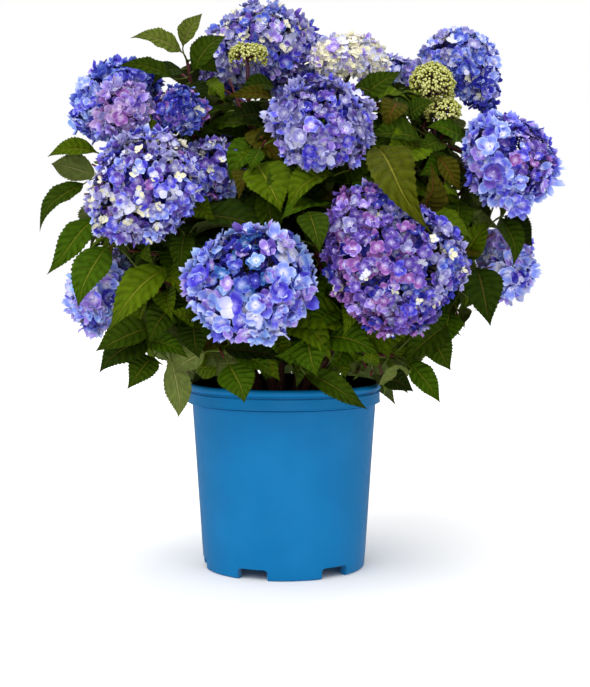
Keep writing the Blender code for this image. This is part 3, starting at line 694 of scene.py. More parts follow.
def makeSoil():
    bottom = pot["floorRise"] + pot["floor"] + growth["gap"]
    top = [(mixRadius * i / soil["rings"], growth["soilTop"]) for i in range(soil["rings"] + 1)]
    below = [(wallRadius(bottom) - soil["clearance"], bottom), (0, bottom)]
    bm = spun(top + below, soil["steps"])
    for vert in bm.verts:
        if vert.co.z > growth["soilTop"] - 1e-6:
            vert.co.z = soilHeight(vert.co.x, vert.co.y)
    filling = addPiece("potting_mix", meshOf("potting_mix", bm), [soilFinish("mix", soil["brown"])])
    filling.data.set_sharp_from_angle(angle=math.radians(60))
    settle(filling, "potting_soil", "soil")

    rng = random.Random(soil["seed"])
    bm = bmesh.new()
    bmesh.ops.create_icosphere(bm, subdivisions=1, radius=1)
    crumb = stampOf(bm)
    copies = []
    for _ in range(soil["crumbs"]):
        radius = (mixRadius - soil["crumbMargin"]) * math.sqrt(rng.random())
        turn = rng.uniform(0, math.tau)
        x, y = radius * math.cos(turn), radius * math.sin(turn)
        size = rng.uniform(*soil["crumbSize"])
        width, height = rng.uniform(*soil["crumbWidth"]), rng.uniform(*soil["crumbHeight"])
        axes = Vector((size, size * width, size * height))
        spin = Matrix.Rotation(rng.uniform(0, math.tau), 3, "Z")
        spin = spin @ Matrix.Rotation(rng.uniform(-soil["crumbTilt"], soil["crumbTilt"]), 3, "X")
        middle = Vector((x, y, soilHeight(x, y) + axes.z * soil["crumbRise"]))
        place = np.array(Matrix.LocRotScale(middle, spin, axes))
        points = crumb.points @ place[:3, :3].T + place[:3, 3]
        copies.append(toned(crumb, points, rng.randrange(len(soil["crumbTones"])), leafCells))
    finishes = [soilFinish(f"crumbs{i + 1}", tone) for i, tone in enumerate(soil["crumbTones"])]
    crumbs = addPiece("bark_crumbs", joined("bark_crumbs", copies), finishes)
    crumbs.data.shade_flat()
    settle(crumbs, "potting_soil")


# Stamps: a small shape read once from its bmesh, then copied into one joined mesh.

Stamp = namedtuple("Stamp", "points corners starts uvs tones")


def stampOf(bm):
    bm.verts.index_update()
    uvLayer = bm.loops.layers.uv.active
    loops = [loop for face in bm.faces for loop in face.loops]
    counts = [len(face.loops) for face in bm.faces]
    points = np.array([v.co[:] for v in bm.verts])
    corners = np.array([loop.vert.index for loop in loops])
    starts = np.cumsum([0, *counts[:-1]])
    uvs = np.array([loop[uvLayer].uv[:] for loop in loops]) if uvLayer else np.zeros((len(loops), 2))
    tones = np.array([face.material_index for face in bm.faces])
    bm.free()
    return Stamp(points, corners, starts, uvs, tones)


# A new map over a shape, straight down on it, as wide as is said and centred.
def mapOver(bm, width=1.0):
    uvLayer = bm.loops.layers.uv.new(mapName)
    for face in bm.faces:
        for loop in face.loops:
            loop[uvLayer].uv = (loop.vert.co.x / width + 0.5, loop.vert.co.y / width + 0.5)


# A stamp's own map, shrunk into the cell of its tone, a little inside the cell's edges.
def inCell(uvs, tone, cells):
    corner = np.array([tone % cells, tone // cells]).T + cellMargin
    return (corner + (1 - 2 * cellMargin) * uvs) / cells


# The stamp's faces over new points, all in one tone.
def toned(stamp, points, tone, cells):
    uvs = inCell(stamp.uvs, tone, cells)
    return Stamp(points, stamp.corners, stamp.starts, uvs, np.full(len(stamp.starts), tone))


# One mesh of all the copies, with their tones as material slots and their map.
def joined(name, copies):
    def raised(parts, counted):
        before = np.cumsum([0, *[len(part) for part in counted]])
        return np.concatenate([part + n for part, n in zip(parts, before, strict=False)]).astype(np.int32)

    points = np.concatenate([c.points for c in copies]).astype(np.float32)
    corners = raised([c.corners for c in copies], [c.points for c in copies])
    starts = raised([c.starts for c in copies], [c.corners for c in copies])
    tones = np.concatenate([c.tones for c in copies]).astype(np.int32)
    uvs = np.concatenate([c.uvs for c in copies]).astype(np.float32)
    mesh = bpy.data.meshes.new(name)
    mesh.vertices.add(len(points))
    mesh.vertices.foreach_set("co", points.ravel())
    mesh.loops.add(len(corners))
    mesh.loops.foreach_set("vertex_index", corners)
    mesh.polygons.add(len(starts))
    mesh.polygons.foreach_set("loop_start", starts)
    mesh.polygons.foreach_set("material_index", tones)
    mesh.uv_layers.new(name=mapName).data.foreach_set("uv", uvs.ravel())
    mesh.update(calc_edges=True)
    mesh.shade_smooth()
    return mesh


# Limbs.


# A limb that leaves one point in one direction and reaches another in another.
def limb(start, startWay, end, endWay, radii, steps):
    reach = (end - start).length * growth["bend"]
    points = interpolate_bezier(start, start + startWay * reach, end - endWay * reach, end, steps + 1)
    return Limb(points, [radii[0] + (radii[1] - radii[0]) * i / steps for i in range(steps + 1)])


# How far the dome reaches above and below its widest ring.
def headDepths(head):
    whole = 2 * head.radius * head.height
    return whole * growth["domeAbove"], whole * growth["domeBelow"]


def facingOf(head):
    return Vector(head.facing).normalized()


def headTurn(head):
    return up.rotation_difference(facingOf(head)).to_matrix()


def stalkEnd(head):
    return Vector(head.place) - facingOf(head) * (headDepths(head)[1] + growth["peduncle"]), facingOf(head)


def allHeads():
    return {title: head for mass in masses.values() for title, head in mass.heads.items()}


def caneFoot(mass):
    side = Vector((mass.fork[0], mass.fork[1], 0)).normalized()
    return side * mass.ring + up * (growth["soilTop"] + growth["gap"])


def caneWay(mass):
    run = Vector(mass.fork) - caneFoot(mass)
    return (run.normalized() + up * growth["caneLean"]).normalized()


def caneLimb(mass, steps):
    radii = (growth["caneRadius"], growth["caneTipRadius"])
    path = limb(caneFoot(mass), up, Vector(mass.fork), caneWay(mass), radii, steps)
    path.radii[0] *= growth["caneFlare"]
    return path


# Each shoot of a mass: leafy ones from low on the stem first.
def shootsOf(mass, steps):
    full, thin = growth["shootRadius"], growth["leafyTipRadius"]
    ends = [(Vector(tip), None, full * growth["leafyShare"], thin) for tip in mass.leafy]
    for head in mass.heads.values():
        end, way = stalkEnd(head)
        ends.append((end - way * growth["gap"], way, full, growth["shootTipRadius"]))
    first, last, found = growth["firstFork"], growth["lastFork"], []
    for number, (end, way, radius, tip) in enumerate(ends):
        share = first + (last - first) * number / max(1, len(ends) - 1)
        start = Vector(mass.fork) + caneWay(mass) * (growth["gap"] + growth["stemLength"] * share)
        run = (end - start).normalized()
        leaving = (caneWay(mass) * growth["hold"][0 if way else 1] + run).normalized()
        way = way or (run + up * growth["tipRise"]).normalized()
        found.append(limb(start, leaving, end, way, (radius, tip), steps))
    return found


def stemOf(mass):
    way = caneWay(mass)
    start = Vector(mass.fork) + way * growth["gap"]
    radii = [growth["caneTipRadius"], growth["shootRadius"] * growth["stemSwell"]]
    return Limb([start, start + way * growth["stemLength"]], radii)


# The point nearest to a place on any of the limbs' lines, and the way of the limb there.
def nearestOn(paths, point):
    best, bestWay = None, None
    for path in paths:
        for a, b in zip(path.points, path.points[1:], strict=False):
            run = b - a
            most = 1 - growth["twigEnd"] / run.length if b == path.points[-1] else 1
            share = max(0.0, min(most, (point - a).dot(run) / run.length_squared))
            spot = a + run * share
            if best is None or (spot - point).length < (best - point).length:
                best, bestWay = spot, run.normalized()
    return best, bestWay


# The point and the direction at a distance back from a limb's tip, or None past its start.
def alongFromTip(path, distance):
    for b, a in zip(path.points[:0:-1], path.points[-2::-1], strict=False):
        run = (b - a).length
        if distance <= run:
            return b.lerp(a, distance / run), (b - a).normalized()
        distance -= run
    return None


# Crossed pairs of leaves down a shoot, each as a list of tries to be taken in turn.
def pairedLeaves(path, rng, size, pairs):
    turn = rng.uniform(0, math.pi)
    for pair in range(pairs):
        spot = alongFromTip(path, growth["firstPair"] + pair * growth["pairSpacing"] * size)
        if spot is None or spot[0].z < pot["height"]:
            return
        point, way = spot
        side = way.orthogonal().normalized()
        for half in range(2):
            angle = turn + pair * math.pi / 2 + half * math.pi
            tries = []
            for _ in range(growth["tries"]):
                swing = rng.uniform(-growth["leafSwing"], growth["leafSwing"])
                shrink = rng.uniform(*growth["leafSize"]) * (1 - growth["shrinkPerTry"] * len(tries)) * size
                out = Matrix.Rotation(angle + swing, 3, way) @ side
                foot = point + (out + way * growth["petioleRise"]).normalized() * growth["petiole"] * shrink
                droop = rng.uniform(*growth["leafDroop"])
                blade = (out + way * growth["bladeRise"] - up * droop).normalized()
                blade = blade * growth["leafLength"] * shrink
                width = blade.length * growth["slenderness"] * rng.uniform(*growth["leafWidth"])
                over = (way + up * growth["faceUp"]).normalized()
                tries.append(Leaf(point, foot, foot + blade, width, over))
            yield tries


# How far out in the crown a point is: 1 at its limit.
def reachOf(point):
    offset = point - growth["crownCentre"]
    return Vector(a / b for a, b in zip(offset, growth["crownReach"], strict=True)).length


def withinCrown(leaf):
    rim = growth["rimClearance"]
    overPot = leaf.tip.xy.length > pot["lipRadius"] + rim or leaf.tip.z > pot["height"] + rim
    return reachOf(leaf.tip) < 1 and overPot and leaf.tip.z > growth["soilTop"]


# Whether a leaf lies before a head, along the way it faces or as seen from the front.
def hidesAHead(leaf, heads):
    spots = [leaf.foot.lerp(leaf.tip, share) for share in growth["hidingAt"]]
    for place, facing, radius in heads:
        for view in [facing, front] if place.y < growth["frontHeads"] else [facing]:
            for spot in spots:
                offset = spot - place
                ahead = offset.dot(view)
                if ahead > 0 and (offset - view * ahead).length < radius * growth["hiding"]:
                    return True
    return False


def treeOf(bm):
    tree = BVHTree.FromBMesh(bm)
    bm.free()
    return tree


# A flat stand-in of twelve faces, which keeps leaves clear of each other as they grow.
def plainLeaf(leaf, grow=0.0):
    bm = bmesh.new()
    bmesh.ops.create_uvsphere(bm, u_segments=6, v_segments=2, radius=1)
    blade = leaf.tip - leaf.foot
    along = blade.normalized()
    across = along.cross(leaf.up).normalized()
    over = across.cross(along)
    half = leaf.width / 2
    for vert in bm.verts:
        y, x, z = vert.co
        if x > 0.9:
            vert.co = leaf.tip + along * grow
        elif x > 0.1:
            rise = growth["arch"] * blade.length + growth["fold"] * half
            side = across * math.copysign(half + grow, y)
            vert.co = leaf.foot + along * growth["widest"] * blade.length + side + over * rise
        elif x > -0.1:
            vert.co = leaf.foot + over * math.copysign(growth["leafThickness"] / 2 + grow, z)
        elif x > -0.9:
            vert.co = leaf.foot + across * math.copysign(growth["petioleRadius"] + grow, y)
        else:
            vert.co = leaf.root + (leaf.root - leaf.foot).normalized() * growth["rootSink"]
    return treeOf(bm)


# A three-sided stand-in of a limb.
def limbTree(path):
    bm = bmesh.new()
    for a, b in zip(path.points, path.points[1:], strict=False):
        run = b - a
        place = Matrix.LocRotScale(a.lerp(b, 0.5), up.rotation_difference(run), None)
        bmesh.ops.create_cone(
            bm, segments=3, radius1=path.radii[0], radius2=path.radii[0], depth=run.length, matrix=place
        )
    return treeOf(bm)


# Every blade that has grown, kept with its stand-in so that the next one stays clear.
class Crown:
    def __init__(self):
        self.heads = [(Vector(head.place), facingOf(head), head.radius) for head in allHeads().values()]
        self.grown = {name: [] for name in masses}
        self.centres = np.zeros((0, 3))
        self.trees, self.owners = [], []
        self.fixed = [nodeTree(name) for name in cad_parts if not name.startswith("leaves_")]
        self.limbs = {}
        self.tones = random.Random(growth["toneSeed"])

    # A leaf's stand-in if it is clear, and with a strict rule of other masses' limbs as well.
    def clear(self, name, leaf, margin, strict):
        whole = plainLeaf(leaf, margin)
        if any(whole.overlap(tree) for tree in self.fixed):
            return None
        away = np.linalg.norm(self.centres - np.array(leaf.foot.lerp(leaf.tip, 0.5)), axis=1)
        near = np.flatnonzero(away < growth["nearBy"])
        others = [self.trees[i] for i in near if self.owners[i] != name]
        own = [self.trees[i] for i in near if self.owners[i] == name]
        if strict:
            others += [tree for other, trees in self.limbs.items() if other != name for tree in trees]
        if any(whole.overlap(tree) for tree in others):
            return None
        bare = leaf._replace(root=leaf.foot.lerp(leaf.tip, growth["bladeFrom"]))
        bare = plainLeaf(bare, margin)
        if any(bare.overlap(tree) for tree in own + self.limbs[name]):
            return None
        return whole

    def add(self, name, leaf, tree, tone):
        self.grown[name].append((leaf, tone))
        self.trees.append(tree)
        self.owners.append(name)
        self.centres = np.vstack([self.centres, np.array(leaf.foot.lerp(leaf.tip, 0.5))])

    # Adds the leaves of one limb that stay clear, and says how many grew.
    def growPairs(self, name, path, rng, size=1.0, pairs=growth["pairsMost"], strict=True):
        margin = growth["clearance"] if strict else -growth["overlap"]
        before = len(self.trees)
        for tries in pairedLeaves(path, rng, size, pairs):
            for leaf in tries:
                if not withinCrown(leaf) or hidesAHead(leaf, self.heads):
                    continue
                tree = self.clear(name, leaf, margin, strict)
                if tree:
                    self.add(name, leaf, tree, toneFor(leaf, self.tones))
                    break
        return len(self.trees) - before


def nodeTree(name):
    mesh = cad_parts[name].data
    return BVHTree.FromPolygons([v.co for v in mesh.vertices], [p.vertices for p in mesh.polygons])


twigs = {
    "length": (0.030, 0.055),
    "turn": 1.6,
    "rise": 0.4,
    "hold": 0.5,
    "stretch": (0.8, 1.2),
    "radius": 0.0017,
    "tipRadius": 0.0012,
    "steps": 5,
    "size": (0.62, 0.92),
    "pairs": 2,
    "firstAt": 0.024,
    "spacing": 0.026,
    "seed": 700,
    "rounds": 2,
    "overPot": 0.012,
    "fillerPairs": 4,
    "fillerSize": 0.85,
    "fillerSteps": 6,
    "fillerShare": 0.8,  # its radius by a shoot's
    "fillerFrom": 0.3,  # how far towards the crown's middle its root is looked for
    "fillerHold": 0.6,
    "fillerRise": 0.3,
}


# Short twigs up a shoot, between its pairs of leaves, turned outward and up.
def sideTwigs(path, rng):
    distance = twigs["firstAt"]
    while True:
        spot = alongFromTip(path, distance)
        if spot is None or spot[0].z < pot["height"] + twigs["overPot"]:
            return
        point, way = spot
        outward = (point - growth["crownCentre"]).normalized()
        turned = (outward - way * outward.dot(way)).normalized()
        turned = Matrix.Rotation(rng.uniform(-twigs["turn"], twigs["turn"]), 3, way) @ turned
        leaving = (turned + way * twigs["hold"]).normalized()
        rise = (turned + way * twigs["rise"] + up * rng.uniform(0.0, twigs["rise"])).normalized()
        end = point + rise * rng.uniform(*twigs["length"])
        radii = (twigs["radius"], twigs["tipRadius"])
        yield limb(point, leaving, end, (end - point).normalized(), radii, twigs["steps"])
        distance += twigs["spacing"] * rng.uniform(*twigs["stretch"])


# Leaves near the outside of the crown mostly take lighter tones than those inside it.
def toneFor(leaf, rng):
    low, blur, ladder = growth["ladderFrom"], growth["ladderSpread"], growth["ladder"]
    share = min(1.0, max(0.0, (reachOf(leaf.tip) - low) / (1 - low))) + rng.uniform(-blur, blur)
    if rng.random() < growth["oliveShare"]:
        return "olive"
    return ladder[min(len(ladder) - 1, max(0, int(share * len(ladder))))]


# The crown with all the shrub's leaves, and the fine twigs of each mass.
def growCrown():
    crown = Crown()
    coarse = {}
    for name, mass in masses.items():
        coarse[name] = [stemOf(mass), *shootsOf(mass, growth["coarseSteps"])]
        crown.limbs[name] = [limbTree(path) for path in coarse[name]]
    for name, mass in masses.items():
        for *ends, width, tone in mass.framing:
            foot, tip = Vector(ends[:3]), Vector(ends[3:])
            over = growth["overSide"] if width > 0 else growth["underSide"]
            leaf = Leaf(nearestOn(coarse[name], foot)[0], foot, tip, abs(width), over)
            crown.add(name, leaf, plainLeaf(leaf, growth["clearance"]), tone)
    for number, name in enumerate(masses):
        rng = random.Random(growth["seed"] + number)
        for path in coarse[name][1:]:
            crown.growPairs(name, path, rng)
    first = len(crown.trees)

    fine = {name: [] for name in masses}
    rng = random.Random(twigs["seed"])
    radii = (growth["shootRadius"] * twigs["fillerShare"], twigs["tipRadius"])
    for name, mass in masses.items():
        for tip in mass.fillers:
            tip = Vector(tip)
            inwards = (growth["crownCentre"] - tip) * twigs["fillerFrom"]
            root, way = nearestOn(coarse[name], tip + inwards)
            run = (tip - root).normalized()
            leaving = (way * twigs["fillerHold"] + run).normalized()
            arriving = (run + up * twigs["fillerRise"]).normalized()
            path = limb(root, leaving, tip, arriving, radii, twigs["fillerSteps"])
            fine[name].append(path)
            crown.growPairs(name, path, rng, twigs["fillerSize"], twigs["fillerPairs"], strict=False)
    for _ in range(twigs["rounds"]):
        for name, mass in masses.items():
            for path in [*coarse[name][1:], *fine[name][:len(mass.fillers)]]:
                for twig in sideTwigs(path, rng):
                    size = rng.uniform(*twigs["size"])
                    if crown.growPairs(name, twig, rng, size, twigs["pairs"], strict=False):
                        fine[name].append(twig)
    print("leaves:", first, "by the first rule and", len(crown.trees) - first, "on finer twigs")
    return crown, fine


# Leaves: one blade stamp in its own outline, quilted between its veins, bent anew for each leaf.

blade = {
    "rows": 18,
    "columns": 4,
    "veins": 9,
    "sweep": 0.16,  # how far the veins run forward from midrib to margin, by length
    "outlineAt": (0.0, 0.03, 0.10, 0.20, 0.32, 0.42, 0.55, 0.68, 0.78, 0.86, 0.92, 0.96, 1.0),
    "outline": (0.0, 0.14, 0.44, 0.76, 0.96, 1.0, 0.93, 0.73, 0.50, 0.29, 0.14, 0.06, 0.0),
    "quilt": 0.024,
    "tooth": 0.095,
    "toothLean": 0.022,
    "thickness": 0.006,
    "arch": (0.05, 0.22),
    "fold": (0.10, 0.62),
    "ripple": (0.006, 0.026),
    "ripples": 22,
    "rippleShift": 1.5,
    "twist": (-0.6, 0.6),
    "twistFrom": 0.3,
    "droopFrom": 0.6,
    "droop": (0.0, 1.3),  # how far the last third hangs and swings aside, by length
    "hook": (-0.45, 0.45),
    "pleat": 0.0022,  # the depth of the furrow along each vein, in metres
    "seed": 41,
}
leafTones = tinted({
    # body, veins and midrib
    "lime": ((76, 82, 0), (92, 96, 8), (124, 122, 40)),
    "fresh": ((84, 106, 0), (100, 118, 6), (128, 128, 40)),
    "grass": ((66, 94, 0), (82, 106, 4), (116, 118, 36)),
    "mid": ((56, 76, 0), (68, 86, 4), (100, 98, 32)),
    "deep": ((44, 62, 0), (55, 72, 4), (88, 80, 32)),
    "dark": ((34, 47, 2), (44, 58, 6), (70, 54, 28)),
    "olive": ((74, 72, 8), (88, 84, 16), (118, 62, 40)),
    "underside": ((98, 110, 54), (120, 128, 72), (134, 132, 80)),
    "young": ((100, 114, 42), (120, 130, 60), (138, 128, 78)),
})


def bladeStamp():
    rows, columns = blade["rows"], blade["columns"]
    bm = bmesh.new()
    bmesh.ops.create_grid(bm, x_segments=columns, y_segments=rows, size=0.5)
    edges = [e for e in bm.edges if all(abs(abs(v.co.x) - 0.5) < 1e-5 for v in e.verts)]
    edges = [e for e in edges if abs(e.verts[0].co.y - e.verts[1].co.y) > 1e-5]
    bmesh.ops.subdivide_edges(bm, edges=edges, cuts=1)
    # each tooth is joined to the next column in, so that no face lies in the margin alone
    teeth = [v for v in bm.verts if len(v.link_edges) == 2 and abs(v.co.y) < 0.499]
    nextIn = [v for v in bm.verts if abs(abs(v.co.x) - 0.5 + 1 / columns) < 1e-4]
    bmesh.ops.connect_verts(bm, verts=teeth + nextIn)
    mapOver(bm)
    for vert in bm.verts:
        side, row = vert.co.x * 2, vert.co.y + 0.5
        forward = blade["sweep"] * abs(side) ** 1.2 * 4 * row * (1 - row)
        along = row + forward
        width = np.interp(along, blade["outlineAt"], blade["outline"]) / 2
        onMargin = abs(abs(side) - 1) < 1e-4
        between = abs(row * rows - round(row * rows)) > 0.1
        if onMargin and between:
            width *= 1 + blade["tooth"]
            along += blade["toothLean"] * (1 - row)
        ridge = 0.5 - 0.5 * math.cos(math.tau * row * blade["veins"])
        height = blade["quilt"] * ridge * math.sin(math.pi * min(1.0, abs(side))) * min(1, 4 * (1 - row))
        vert.co = Vector((side * width, along, height))
    bmesh.ops.remove_doubles(bm, verts=bm.verts, dist=1e-5)
    if bm.faces[:][0].normal.z < 0:
        bmesh.ops.reverse_faces(bm, faces=bm.faces)
    bmesh.ops.triangulate(bm, faces=bm.faces)
    upper = list(bm.faces)
    lower = bmesh.ops.duplicate(bm, geom=[*bm.verts, *bm.edges, *upper])["geom"]
    lowerFaces = [item for item in lower if isinstance(item, bmesh.types.BMFace)]
    for vert in [item for item in lower if isinstance(item, bmesh.types.BMVert)]:
        if not vert.is_boundary:
            vert.co.z -= blade["thickness"]
    bmesh.ops.reverse_faces(bm, faces=lowerFaces)
    for face in lowerFaces:
        face.material_index = 1
    bmesh.ops.remove_doubles(bm, verts=[v for v in bm.verts if v.is_boundary], dist=1e-5)
    return stampOf(bm)


# The blade stamp bent, folded and rippled, set from the leaf's foot to its tip.
def bentLeaf(stamp, leaf, tone, rng):
    run = leaf.tip - leaf.foot
    length = run.length
    along = run.normalized()
    across = along.cross(leaf.up).normalized()
    over = across.cross(along)
    x, y, z = stamp.points.T
    arch, fold = rng.uniform(*blade["arch"]), rng.uniform(*blade["fold"])
    ripple, phase = rng.uniform(*blade["ripple"]), rng.uniform(0, math.tau)
    side = np.abs(x) * 2
    lift = arch * 4 * y * (1 - y) + fold * np.abs(x) * leaf.width / length
    waves = np.sin(phase + blade["ripples"] * y + blade["rippleShift"] * np.sign(x))
    lift += z + ripple * waves * side**2
    tipward = np.maximum(0, y - blade["droopFrom"]) ** 2
    lift -= rng.uniform(*blade["droop"]) * tipward
    turn = rng.uniform(*blade["twist"]) * (y - blade["twistFrom"])
    sideways = x * leaf.width + rng.uniform(*blade["hook"]) * tipward * length
    lifted = lift * length
    points = (
        np.outer(sideways * np.cos(turn) - lifted * np.sin(turn), across)
        + np.outer(y * length, along)
        + np.outer(sideways * np.sin(turn) + lifted * np.cos(turn), over)
        + np.array(leaf.foot)
    )
    names = list(leafTones)
    slots = np.where(stamp.tones == 0, names.index(tone), names.index("underside"))
    cornerSlots = np.repeat(slots, np.diff([*stamp.starts, len(stamp.corners)]))
    return Stamp(points, stamp.corners, stamp.starts, inCell(stamp.uvs, cornerSlots, leafCells), slots)


# A leaf's own pattern, which follows its veins: mottled body, side veins, midrib and quilting,
# with painted shade darkening the body along the veins where the quilting dips.
def leafFinish(name, body, vein, midrib, under=False):
    made = Finish(f"leaf_{name}", body, 0.5, 0.07)
    place, u, v = made.cell(leafCells)
    side = made.aside(u)
    row = made.maths("FRACT", made.maths("MULTIPLY", v, blade["veins"]))
    fading = made.ramp(side, 0.05, 0.50, 0.42, 0.05)
    veinShare = made.maths("MULTIPLY", made.ramp(made.aside(row), 0.40, 0.495), fading)
    swelling = made.maths("SINE", made.maths("MULTIPLY", row, math.pi))
    swelling = made.maths("MULTIPLY", swelling, made.ramp(side, 0.0, 0.12))
    # painted shade: the body darkens along the veins, where the quilted blade dips, over its own mottling
    mottleAndFurrowShade = made.maths("ADD", made.noise(place, 9, 3, 0.6), made.maths("MULTIPLY", swelling, 0.22))
    bodyTone = made.mixed(made.ramp(mottleAndFurrowShade, 0.38, 0.84), dimmed(body, 0.62), body)
    veined = made.mixed(veinShare, bodyTone, vein)
    edged = made.mixed(made.ramp(side, 0.40, 0.50, 0.0, 0.5), veined, dimmed(body, 0.55))
    made.paint(made.mixed(made.ramp(side, 0.008, 0.024, 0.85, 0.0), edged, midrib))
    inputs = {"Scale": 26, "Vector": place}
    cells = made.node("ShaderNodeTexVoronoi", inputs, feature="DISTANCE_TO_EDGE")["Distance"]
    furrow = made.maths("ADD", made.ramp(cells, 0.0, 0.12, 0.0, 0.14), swelling)
    made.bump(furrow, -0.8 if under else 0.9, blade["pleat"])
    dull = 0.66 if under else 0.46
    made.roughen(made.noise(place, 30, 3), dull, dull + 0.16)
    return made.material


def makeLeaves(crown):
    stamp = bladeStamp()
    rng = random.Random(blade["seed"])
    finishes = [leafFinish(name, *tones, under=name == "underside") for name, tones in leafTones.items()]
    triangles = 0
    for name, leaves in crown.grown.items():
        copies = [bentLeaf(stamp, leaf, tone, rng) for leaf, tone in leaves]
        piece = addPiece(f"foliage_{name}", joined(f"foliage_{name}", copies), finishes)
        piece.data.set_sharp_from_angle(angle=math.radians(95))
        settle(piece, "foliage", f"leaves_{name}")
        triangles += triangleCount(piece)
    print("foliage:", triangles, "triangles")


# Canes, shoots, twigs and leaf stalks.

wood = {
    "caneSteps": 30,
    "shootSteps": 16,
    "caneSides": 4,  # bevel resolutions
    "shootSides": 1,
    "stalkSides": 1,
    "relief": 0.00035,
    "reliefScale": (900, 900, 130),
    "nodeSwell": 1.35,
    "shootSwell": 1.18,
    "caneNodes": 9,  # every so many steps is a joint
    "shootNodes": 4,
    "twigSteps": 8,
    "stalkSteps": 4,
    "stalkShare": 0.8,
    "stalkTaper": 0.55,
    "stalkInBlade": 0.004,
    "bark": tint(118, 74, 54),
    "barkDark": tint(56, 30, 24),
    "shootTones": (tint(88, 30, 34), tint(66, 44, 24), tint(66, 82, 18)),
    "stalkTones": (tint(84, 98, 22), tint(104, 46, 42)),
    "seed": 12,
}


def barkFinish():
    made = Finish("bark", wood["bark"], 0.75, 0.3)
    place = made.place()
    fibres = made.noise(made.stretched(place, (1, 1, 0.18)), 900, 4, 0.65)
    patches = made.noise(place, 60, 3)
    share = made.maths("MULTIPLY", made.ramp(fibres, 0.35, 0.7), made.ramp(patches, 0.3, 0.7, 0.5, 1.0))
    made.paint(made.mixed(share, wood["barkDark"], wood["bark"]))
    made.roughen(patches, 0.65, 0.85)
    made.bump(fibres, 0.6, 0.0006)
    return made.material


def stalkFinish(name, colour, roughness=0.5):
    made = Finish(name, colour, roughness, 0.4)
    specks = made.noise(made.place(), 700, 3, 0.6)
    made.roughen(specks, roughness - 0.08, roughness + 0.12)
    made.bump(specks, 0.35, 0.0004)
    return made.material


# One mesh of many tapering stems, each with the number of its tone. The relief is the bark's.
def tubes(name, stems, finishes, resolution, relief=0.0):
    curve = bpy.data.curves.new(name, "CURVE")
    curve.dimensions = "3D"
    curve.bevel_depth = 1
    curve.bevel_resolution = resolution
    curve.use_fill_caps = True
    for path, tone in stems:
        spline = curve.splines.new("POLY")
        spline.points.add(len(path.points) - 1)
        for spot, point, radius in zip(spline.points, path.points, path.radii, strict=True):
            spot.co = (*point, 1)
            spot.radius = radius
        spline.material_index = tone
        spline.use_smooth = True
    for finish in finishes:
        curve.materials.append(finish)
    guide = linked(name, curve)
    graph = bpy.context.evaluated_depsgraph_get()
    mesh = bpy.data.meshes.new_from_object(guide.evaluated_get(graph))
    bpy.data.objects.remove(guide)
    bm = bmesh.new()
    bm.from_mesh(mesh)
    bmesh.ops.remove_doubles(bm, verts=bm.verts, dist=1e-6)
    bmesh.ops.recalc_face_normals(bm, faces=bm.faces)
    bm.normal_update()
    for vert in bm.verts if relief else ():
        place = Vector(a * b for a, b in zip(vert.co, wood["reliefScale"], strict=True))
        vert.co += vert.normal * relief * noise.noise(place)
    bm.to_mesh(mesh)
    bm.free()
    mesh.name = name
    return mesh


# The limb with its points spaced finer, and swollen a little at its joints.
def smoothRun(path, steps, swellEvery=None, swell=1.0):
    count = len(path.points) - 1
    points, radii = [], []
    for step in range(steps + 1):
        at = step / steps * count
        index = min(count - 1, int(at))
        share = at - index
        points.append(path.points[index].lerp(path.points[index + 1], share))
        radius = path.radii[index] + (path.radii[index + 1] - path.radii[index]) * share
        if swellEvery and step % swellEvery == swellEvery - 1:
            radius *= swell
        radii.append(radius)
    return Limb(points, radii)


def makeWood(crown, fine):
    canes = []
    for mass in masses.values():
        path = caneLimb(mass, wood["caneSteps"])
        canes.append((smoothRun(path, wood["caneSteps"], wood["caneNodes"], wood["nodeSwell"]), 0))
    mesh = tubes("canes", canes, [barkFinish()], wood["caneSides"], wood["relief"])
    piece = addPiece("cane_bark_mesh", mesh)
    piece.data.shade_smooth()
    settle(piece, "cane_bark", *[f"cane_{name}" for name in masses])

    rng = random.Random(wood["seed"])
    shoots = []
    for name, mass in masses.items():
        shoots.append((stemOf(mass), 0))
        for path in shootsOf(mass, wood["shootSteps"]):
            run = smoothRun(path, wood["shootSteps"], wood["shootNodes"], wood["shootSwell"])
            shoots.append((run, rng.choice((0, 0, 1))))
        shoots += [(smoothRun(path, wood["twigSteps"]), rng.choice((0, 1, 2))) for path in fine[name]]
    finishes = [stalkFinish(f"shoot{i + 1}", tone) for i, tone in enumerate(wood["shootTones"])]
    settle(addPiece("shoots", tubes("shoots", shoots, finishes, wood["shootSides"])), "foliage")

    stalks = []
    radius = growth["petioleRadius"] * wood["stalkShare"]
    radii = (radius, radius * wood["stalkTaper"])
    for leaf, _ in [pair for leaves in crown.grown.values() for pair in leaves]:
        along = (leaf.tip - leaf.foot).normalized()
        leaving = (leaf.foot - leaf.root).normalized()
        end = leaf.foot + along * wood["stalkInBlade"]
        path = limb(leaf.root, leaving, end, along, radii, wood["stalkSteps"])
        stalks.append((path, rng.choice((0, 0, 1))))
    finishes = [stalkFinish(f"leafStalk{i + 1}", tone) for i, tone in enumerate(wood["stalkTones"])]
    settle(addPiece("leaf_stalks", tubes("leaf_stalks", stalks, finishes, wood["stalkSides"])), "foliage")
    print("stems:", len(canes), "canes,", len(shoots), "shoots,", len(stalks), "leaf stalks")


# Flower heads: florets of four broad sepals over a dome, on rays from the stalk.

